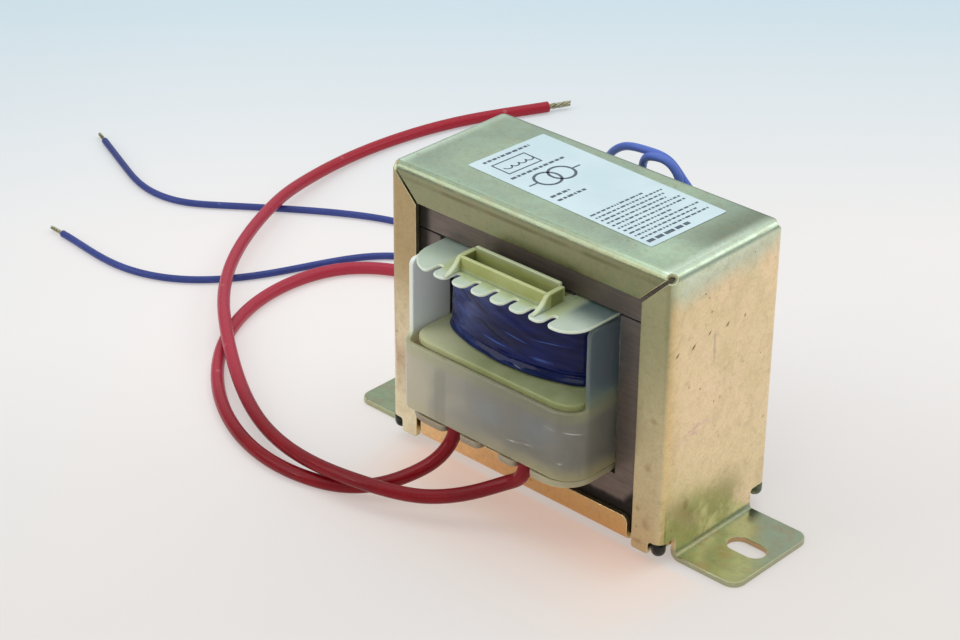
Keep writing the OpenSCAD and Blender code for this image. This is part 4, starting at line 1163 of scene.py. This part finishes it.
def cover_runs(g):
    """Strip lengths where a corner starts and ends, and where the side stops at the core."""
    s1 = CX - CR[g]
    s2 = s1 + CR[g] * Q
    return s1, s2, s2 + (-11.6 - CY - CR[g])


def fold_cover(sy):
    def fold(s, z, n):
        g, s = (1 if s >= 0 else -1), abs(s)
        r = CR[g]
        s1, s2, s3 = cover_runs(g)
        if s <= s1:
            x, y = s, CY + n
        elif s <= s2:
            k = (s - s1) / r
            x, y = s1 + (r - n) * math.sin(k), CY + r - (r - n) * math.cos(k)
        else:
            x, y = CX - n, CY + r + (s - s2)
        return g * x, sy * y, z
    return fold


def cover_edge(g, wing_y, fillet):
    s1, s2, s3 = cover_runs(g)
    wing = s1 + CR[g] * math.acos((wing_y + CY + CR[g]) / CR[g])
    q = [(0, 14.5), (s3, 14.5), (s3, 40.55)] + [(wing + 1.2, 40.55)] + arc(wing + 1.2, 39.35, 1.2, 90, 180, 7)
    return q + arc(wing - fillet, 26.6 + fillet, fillet, 0, -90, 5) + [(0, 26.6)]


def build_covers():
    right, left = cover_edge(1, 18.9, 0.6), cover_edge(-1, 20.4, 1.3)
    loop = clean(right + [(-s, z) for s, z in reversed(left)])
    s = steps_between(*cover_runs(1)[:2], 12) + [-v for v in steps_between(*cover_runs(-1)[:2], 10)]
    for side, sy in (("front", 1), ("rear", -1)):
        v, f, c = slab([loop], 0.9, 0.24, 4, sorted(s), (), fold_cover(sy))
        piece(f"winding_cover_{side}", v, f, "cover_nylon", [f"{side}_cover"], c)


# ---------------------------------------------------------------- label

LABEL_C = (1.4, 1.25)
LABEL_TURN = math.radians(-2.4)


def on_label(x, y, h):
    c, s = math.cos(LABEL_TURN), math.sin(LABEL_TURN)
    return LABEL_C[0] + c * x - s * y, LABEL_C[1] + s * x + c * y, TOP + h


def build_label():
    loop = rounded([(-19.8, -8.7), (19.8, -8.7), (19.8, 8.7), (-19.8, 8.7)], 0.35, 3)
    v, f, c = slab([loop], 0.1, 0.03, 1, steps_between(-18, 18, 12), steps_between(-7, 7, 4), on_label)
    piece("sticker", v, f, "sticker", ["label"], c)
    # plain grey bars in rows and a neutral coil symbol: no lettering
    parts = []

    def bar(x0, y0, x1, y1):
        parts.append(slab([[(x0, y0), (x1, y0), (x1, y1), (x0, y1)]], 0.012, 0.004, 1, (), (),
                          lambda x, y, h: on_label(x, y, 0.1 + h)))
    r = random.Random(11)

    def row(x, y, end, w, lo, hi, gap):
        while y < end:
            length = min(r.uniform(lo, hi), end - y)
            if length > 0.2:
                bar(x - w, y, x, y + length)
            y += length + gap
    # a heading rule and rows of short bars across the right part
    row(18.7, -7.9, 1.6, 0.8, 0.9, 2.2, 0.4)
    x = 17.1
    for end in (7.6, 6.2, 7.9, 3.0, 7.4, 7.9, 5.6, 6.8, 7.2, 4.4):
        row(x, -7.9, end, 0.42, 0.3, 1.15, 0.26)
        x -= 1.16
    for x, y, end in ((-0.4, -7.6, -1.4), (-2.0, -7.6, -3.4), (-10.9, -7.4, 4.6), (-18.0, -6.6, 3.8)):
        row(x, y, end, 0.6, 0.35, 1.2, 0.28)
    v, f, c = merge(*parts)

    def ring(cx, cy, ro, ri, a0=0.0, a1=360.0):
        n = 40
        loop = arc(cx, cy, ro, a0, a1, n) + arc(cx, cy, ri, a1, a0, n)
        return slab([loop], 0.012, 0.003, 1, (), (), lambda x, y, h: on_label(x, y, 0.1 + h))
    # the two overlapping rings of a transformer symbol, drawn as four open halves, and a coil in a box
    sym = [ring(-7.4, cy, 2.5, 2.0, a, a + 179.5) for cy in (-3.0, 0.2) for a in (0, 180)]
    for k in range(4):
        sym.append(ring(-14.9, -4.6 + 1.6 * k, 0.95, 0.65, 90, -90))
    v2, f2, c2 = merge((v, f, c), *sym)
    bars = []
    for x0, y0, x1, y1 in ((-16.9, -6.4, -16.6, 1.2), (-12.9, -6.4, -12.6, 1.2), (-16.6, -6.4, -12.9, -6.1), (-16.6, 0.9, -12.9, 1.2),
                           (-7.55, -7.2, -7.2, -5.5), (-7.55, 2.7, -7.2, 4.4)):
        bars.append(slab([[(x0, y0), (x1, y0), (x1, y1), (x0, y1)]], 0.012, 0.004, 1, (), (),
                         lambda x, y, h: on_label(x, y, 0.1 + h)))
    v3, f3, c3 = merge((v2, f2, c2), *bars)
    piece("sticker_bars", v3, f3, "ink", (), c3, None, False)


# ---------------------------------------------------------------- leads

ROUTES = {
    "red_1": [
        (-7.2, -21.2, 14.3), (-7.5, -21.5, 12.5), (-8, -22.5, 10.5), (-9.5, -24, 8), (-12.5, -26, 5.5),
        (-16, -28.5, 3), (-20.5, -31.5, 1.5), (-26.5, -34.5, 1.3), (-37, -35, 1.3), (-49, -32, 1.3), (-60, -25.5, 1.3),
        (-70.5, -16, 1.3), (-77.5, -4.5, 1.3), (-80.5, 9, 1.3), (-77.5, 22.5, 1.3), (-66.5, 29.5, 1.3),
        (-49, 29.5, 1.3), (-26, 26, 1.3), (0, 25.5, 1.3), (14, 23.5, 1.3)],
    "red_2": [
        (8.2, -21.2, 14.3), (8, -21.5, 13), (7, -21.5, 11), (5, -22, 9.5), (1.5, -24, 7.5), (-2.5, -27, 5.5),
        (-8.5, -30, 4.5), (-16, -32, 4.5), (-26, -34, 4), (-37, -32, 3), (-51, -26, 2), (-65, -18, 3), (-75, -11, 4),
        (-85, -2, 3), (-92, 5.5, 3), (-99.5, 17, 2.5), (-105, 30.5, 3), (-110, 43, 2), (-112, 57, 1.3),
        (-112, 73.5, 1.3), (-107.5, 89, 1.3), (-100, 105.5, 1.3)],
    "blue_1": [
        (7.7, 20.8, 40.8), (7.5, 21, 43), (6, 21.5, 44.5), (2.5, 22, 47), (0, 22, 49), (-5, 22, 49.5),
        (-10, 22.5, 48.5), (-14, 23.5, 45.5), (-17.5, 25.5, 39.5), (-20, 28.5, 30), (-23, 32.5, 19), (-27, 37.5, 9),
        (-34, 42.5, 2), (-45, 45, 0.8), (-65, 45, 0.8), (-85.5, 44, 0.8), (-95.5, 38, 0.8), (-106, 31.5, 0.8),
        (-115.5, 25, 0.8), (-122, 19, 0.8), (-132, 18, 0.8), (-143, 22, 0.8), (-156.5, 27.5, 0.8)],
    "blue_2": [
        (4, 20.7, 40.8), (4, 20.5, 43), (4, 20, 46), (3, 20, 48.5), (1, 20, 50), (-2, 20, 50), (-4, 20.5, 49),
        (-5.5, 21.5, 46), (-6.5, 22.5, 41), (-8.5, 25, 31), (-11.5, 28.5, 19), (-16, 32.5, 8.5), (-23.5, 36, 2),
        (-35, 38, 0.8), (-53, 38, 0.8), (-69, 36.5, 0.8), (-77.5, 31, 0.8), (-82, 21, 0.8), (-86.5, 11, 0.8),
        (-92.5, 2, 0.8), (-99, -4.5, 0.8), (-109, -7, 0.8), (-128.5, -6, 0.8)],
}
WIRE = {"red": (2.4, 1.3, 5.6, 0.42, 7), "blue": (1.4, 0.8, 4.0, 0.26, 7)}  # jacket, strand bundle, bare length, strand, count


def smooth_slopes(P, h):
    """Slopes of the twice-smooth curve through P on chord lengths h, ends running straight on."""
    n = len(P)
    first, last = (P[1] - P[0]) / h[0], (P[-1] - P[-2]) / h[-1]
    c, r = [0.0] * n, [Vector((0, 0, 0))] * n
    r[0] = first
    for i in range(1, n - 1):
        a, b = 1 / h[i - 1], 1 / h[i]
        k = 2 * (a + b) - a * c[i - 1]
        c[i] = b / k
        r[i] = (3 * ((P[i] - P[i - 1]) * a * a + (P[i + 1] - P[i]) * b * b) - r[i - 1] * a) / k
    m = [None] * n
    m[-1] = last
    for i in range(n - 2, -1, -1):
        m[i] = r[i] - m[i + 1] * c[i]
    for i in range(1, n - 1):  # low down the heights never overshoot, so a lead lying on the table stays on it
        if P[i].z > 10.0:
            continue
        d0, d1 = (P[i].z - P[i - 1].z) / h[i - 1], (P[i + 1].z - P[i].z) / h[i]
        top = 3 * min(abs(d0), abs(d1)) if d0 * d1 > 0 else 0.0
        m[i].z = max(-top, min(top, m[i].z))
    return m


def ease(P, reach=0.8):
    """Take the small corners out of a lead lying on the table: each point slides towards the cubic through its
    neighbours, by at most `reach` mm, and never sinks."""
    n = len(P)
    cur = [p.copy() for p in P]
    for _ in range(4):
        s = [0.0]
        for i in range(1, n):
            s.append(s[-1] + (cur[i] - cur[i - 1]).length)
        new = [p.copy() for p in cur]
        for i in range(2, n - 2):
            if P[i].z > 6.0:
                continue
            goal = Vector((0, 0, 0))
            near = (i - 2, i - 1, i + 1, i + 2)
            for a in near:
                w = 1.0
                for b in near:
                    if b != a:
                        w *= (s[i] - s[b]) / (s[a] - s[b])
                goal += cur[a] * w
            step = cur[i] + (goal - cur[i]) * 0.4 - P[i]
            step.z = min(max(step.z, 0.0), 0.4)
            if step.length > reach:
                step *= reach / step.length
            new[i] = P[i] + step
        cur = new
    return cur


def lead_curve(name, pts, d):
    cu = bpy.data.curves.new(name, "CURVE")
    cu.dimensions = "3D"
    cu.bevel_depth = d / 2 * MM
    cu.bevel_resolution = 6
    cu.resolution_u = 10
    cu.use_fill_caps = True
    cu.twist_mode = "MINIMUM"
    sp = cu.splines.new("BEZIER")
    sp.bezier_points.add(len(pts) - 1)
    P = ease([Vector(p) for p in pts])
    n = len(P)
    h = [(P[i + 1] - P[i]).length for i in range(n - 1)]
    m = smooth_slopes(P, h)
    for i, bp in enumerate(sp.bezier_points):
        bp.co = P[i] * MM
        bp.handle_left_type = bp.handle_right_type = "FREE"
        bp.handle_left = (P[i] - m[i] * h[max(i - 1, 0)] / 3) * MM
        bp.handle_right = (P[i] + m[i] * h[min(i, n - 2)] / 3) * MM
    o = bpy.data.objects.new(name, cu)
    bpy.context.scene.collection.objects.link(o)
    return o


def strand_bundle(name, pts, outer, length, d, count):
    """Twisted bare strands that run straight on from the end of a lead, a little frayed at the tip."""
    e, u = Vector(pts[-1]), (Vector(pts[-1]) - Vector(pts[-2])).normalized()
    side = u.cross(Vector((0, 0, 1))).normalized()
    up = side.cross(u).normalized()
    verts, faces = [], []
    rings, sides = 16, 8
    R = (outer - d) / 2
    for k in range(count):
        a0 = 2 * math.pi * k / (count - 1)
        r0 = 0.0 if k == count - 1 else R
        full = length - rng.uniform(0.0, 0.12) * length
        splay = rng.uniform(0.0, 0.06)
        base = len(verts)
        for i in range(rings + 1):
            t = i / rings
            s = -0.5 + (full + 0.5) * t
            a = a0 + s / 9.0 * 2 * math.pi
            r = r0 * (1 - splay * t)
            c = e + u * s + (side * math.cos(a) + up * math.sin(a)) * r
            tip = d / 2 * (0.8 if i == rings else 1)
            for q in range(sides):
                b = 2 * math.pi * q / sides
                p = c + (side * math.cos(b) + up * math.sin(b)) * tip
                verts.append(tuple(p))
        for i in range(rings):
            for q in range(sides):
                w = (q + 1) % sides
                x = base + i * sides
                faces.append((x + q, x + w, x + sides + w, x + sides + q))
        faces.append(tuple(base + q for q in reversed(range(sides))))
        faces.append(tuple(base + rings * sides + q for q in range(sides)))
    return verts, faces


def build_leads():
    for key, pts in ROUTES.items():
        colour = key.split("_")[0]
        d, bundle, bare, strand, count = WIRE[colour]
        o = lead_curve(f"lead_wire_{key}", pts, d)
        o.data.materials.append(MATS[f"{colour}_pvc"])
        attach(o, "root")
        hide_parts(f"lead_{key}")
        v, f = strand_bundle(key, pts, bundle, bare, strand, count)
        tip = piece(f"bare_strands_{key}", v, f, "tinned_strands", [f"stripped_end_{key}"], None, 50, False)


# ---------------------------------------------------------------- stage and light

def build_stage():
    """A pale table that glows a little, like a light table: cool far away, warm under the front with painted bounce
    light, darker behind the camera as painted shade.
    """
    me = bpy.data.meshes.new("floor")
    me.from_pydata([(-4, -4, 0), (4, -4, 0), (4, 4, 0), (-4, 4, 0)], [], [(0, 1, 2, 3)])
    o = bpy.data.objects.new("floor", me)
    bpy.context.scene.collection.objects.link(o)
    m = Mat("pale_floor", IOR=1.2)
    x, y, z = m.xyz()
    away = m.math("ADD", m.math("MULTIPLY", x, -0.68), m.math("MULTIPLY", y, 0.73))
    across = m.math("ADD", m.math("MULTIPLY", x, 0.73), m.math("MULTIPLY", y, 0.68))
    col = m.mix(m.span(away, -45, 45, kind="LINEAR"), lin(238, 231, 227), lin(249, 243, 241))
    col = m.mix(m.span(away, 85, 215, kind="LINEAR"), col, lin(212, 229, 238))
    col = m.mix(m.span(away, 215, 600), col, lin(196, 208, 214))
    col = m.mix(m.span(across, -60, -150, 0, 0.25), col, lin(198, 214, 224))
    # painted shade on the floor on the camera's side
    col = m.mix(m.span(away, -58, -110), col, lin(214, 208, 203))
    # painted bounce light: a warm glow on the floor under the front of the part, stronger close to it
    glow = m.math("MULTIPLY", m.span(y, -46, -15), m.band(x, -19, 29, 13))
    glow = m.math("MULTIPLY", glow, m.span(y, -11, -13))
    col = m.mix(m.math("MULTIPLY", glow, 0.7), col, lin(255, 229, 214))
    near = m.math("MULTIPLY", m.math("MULTIPLY", m.span(y, -26, -16), m.span(y, -11, -13)), m.band(x, -19, 24, 6))
    col = m.mix(m.math("MULTIPLY", near, 0.3), col, lin(255, 204, 176))
    col = m.mix(m.span(m.noise(0.01, 2), 0.3, 0.7, 0, 0.05), col, lin(225, 225, 228))
    base = m.mix(1.0, col, (0.5, 0.5, 0.5, 1), "MULTIPLY")
    # the floor emits part of its colour as light, which lifts the shade under the part
    me.materials.append(m.out(Base_Color=base, Roughness=m.span(m.noise(0.02, 2), 0.3, 0.7, 0.75, 0.85), Emission_Color=col,
                              Emission_Strength=0.44))


def area_light(name, loc, aim, size, power, colour=(1, 1, 1)):
    d = bpy.data.lights.new(name, "AREA")
    d.shape = "RECTANGLE"
    d.size, d.size_y = size
    d.energy = power
    d.color = colour
    o = bpy.data.objects.new(name, d)
    o.location = loc
    o.rotation_mode = "QUATERNION"
    o.rotation_quaternion = (Vector(aim) - Vector(loc)).to_track_quat("-Z", "Y")
    bpy.context.scene.collection.objects.link(o)
    return o


def build_light():
    w = bpy.data.worlds.new("soft_studio")
    bpy.context.scene.world = w
    w.use_nodes = True
    nt = w.node_tree
    nt.nodes.clear()
    out = nt.nodes.new("ShaderNodeOutputWorld")
    bg = nt.nodes.new("ShaderNodeBackground")
    tc = nt.nodes.new("ShaderNodeTexCoord")
    sep = nt.nodes.new("ShaderNodeSeparateXYZ")
    ramp = nt.nodes.new("ShaderNodeValToRGB")
    mr = nt.nodes.new("ShaderNodeMapRange")
    nt.links.new(tc.outputs["Generated"], sep.inputs[0])
    nt.links.new(sep.outputs["Z"], mr.inputs["Value"])
    mr.inputs["From Min"].default_value = -1
    nt.links.new(mr.outputs[0], ramp.inputs[0])
    e = ramp.color_ramp.elements
    e[0].position, e[0].color = 0.0, (0.5, 0.5, 0.5, 1)
    e[1].position, e[1].color = 1.0, (0.80, 0.88, 0.92, 1)
    for pos, c in ((0.49, (0.24, 0.26, 0.26, 1)), (0.57, (0.22, 0.25, 0.25, 1)), (0.64, (0.60, 0.66, 0.66, 1)),
                   (0.72, (1.08, 1.17, 1.17, 1)), (0.82, (1.10, 1.19, 1.19, 1)), (0.9, (0.85, 0.92, 0.95, 1))):
        k = e.new(pos)
        k.color = c
    # brighter behind the part than on the camera's side
    dot = nt.nodes.new("ShaderNodeVectorMath")
    dot.operation = "DOT_PRODUCT"
    nt.links.new(tc.outputs["Generated"], dot.inputs[0])
    dot.inputs[1].default_value = (-0.28, 0.96, 0)
    back = nt.nodes.new("ShaderNodeMapRange")
    nt.links.new(dot.outputs["Value"], back.inputs["Value"])
    back.inputs["From Min"].default_value = -1
    back.inputs["To Min"].default_value = 0.5
    back.inputs["To Max"].default_value = 1.25
    mul = nt.nodes.new("ShaderNodeVectorMath")
    mul.operation = "SCALE"
    nt.links.new(ramp.outputs[0], mul.inputs[0])
    nt.links.new(back.outputs[0], mul.inputs["Scale"])
    nt.links.new(mul.outputs[0], bg.inputs["Color"])
    bg.inputs["Strength"].default_value = 0.66
    nt.links.new(bg.outputs[0], out.inputs["Surface"])
    area_light("top_softbox", (-0.05, 0.05, 0.75), (0, 0, 0), (0.9, 0.7), 2.4, (0.96, 0.99, 1))
    area_light("back_right_softbox", (0.43, 0.58, 0.54), (0.02, 0, 0.04), (0.5, 0.35), 0.9, (0.95, 1, 0.98))
    area_light("front_left_softbox", (-0.45, -0.5, 0.5), (0, 0, 0.02), (0.5, 0.5), 1.3, (1, 0.99, 0.97))
    area_light("front_fill", (0.3, -0.75, 0.34), (0, 0, 0.02), (0.6, 0.4), 1.0, (1, 0.98, 0.95))
    area_light("glint_lamp", (-0.3, -0.62, 0.22), (0, -0.02, 0.03), (0.08, 0.05), 0.3, (1, 0.99, 0.97))


def finish_nodes():
    """CAD nodes that stay as they are get their own material."""
    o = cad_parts["bobbin_tube"]
    o.data.materials.clear()
    o.data.materials.append(MATS["nylon"])


build_leads()
build_frame()
build_plate()
build_lugs()
build_core()
build_bobbin()
build_windings()
build_covers()
build_label()
finish_nodes()
build_stage()
build_light()
bpy.context.scene.view_settings.view_transform = "Standard"
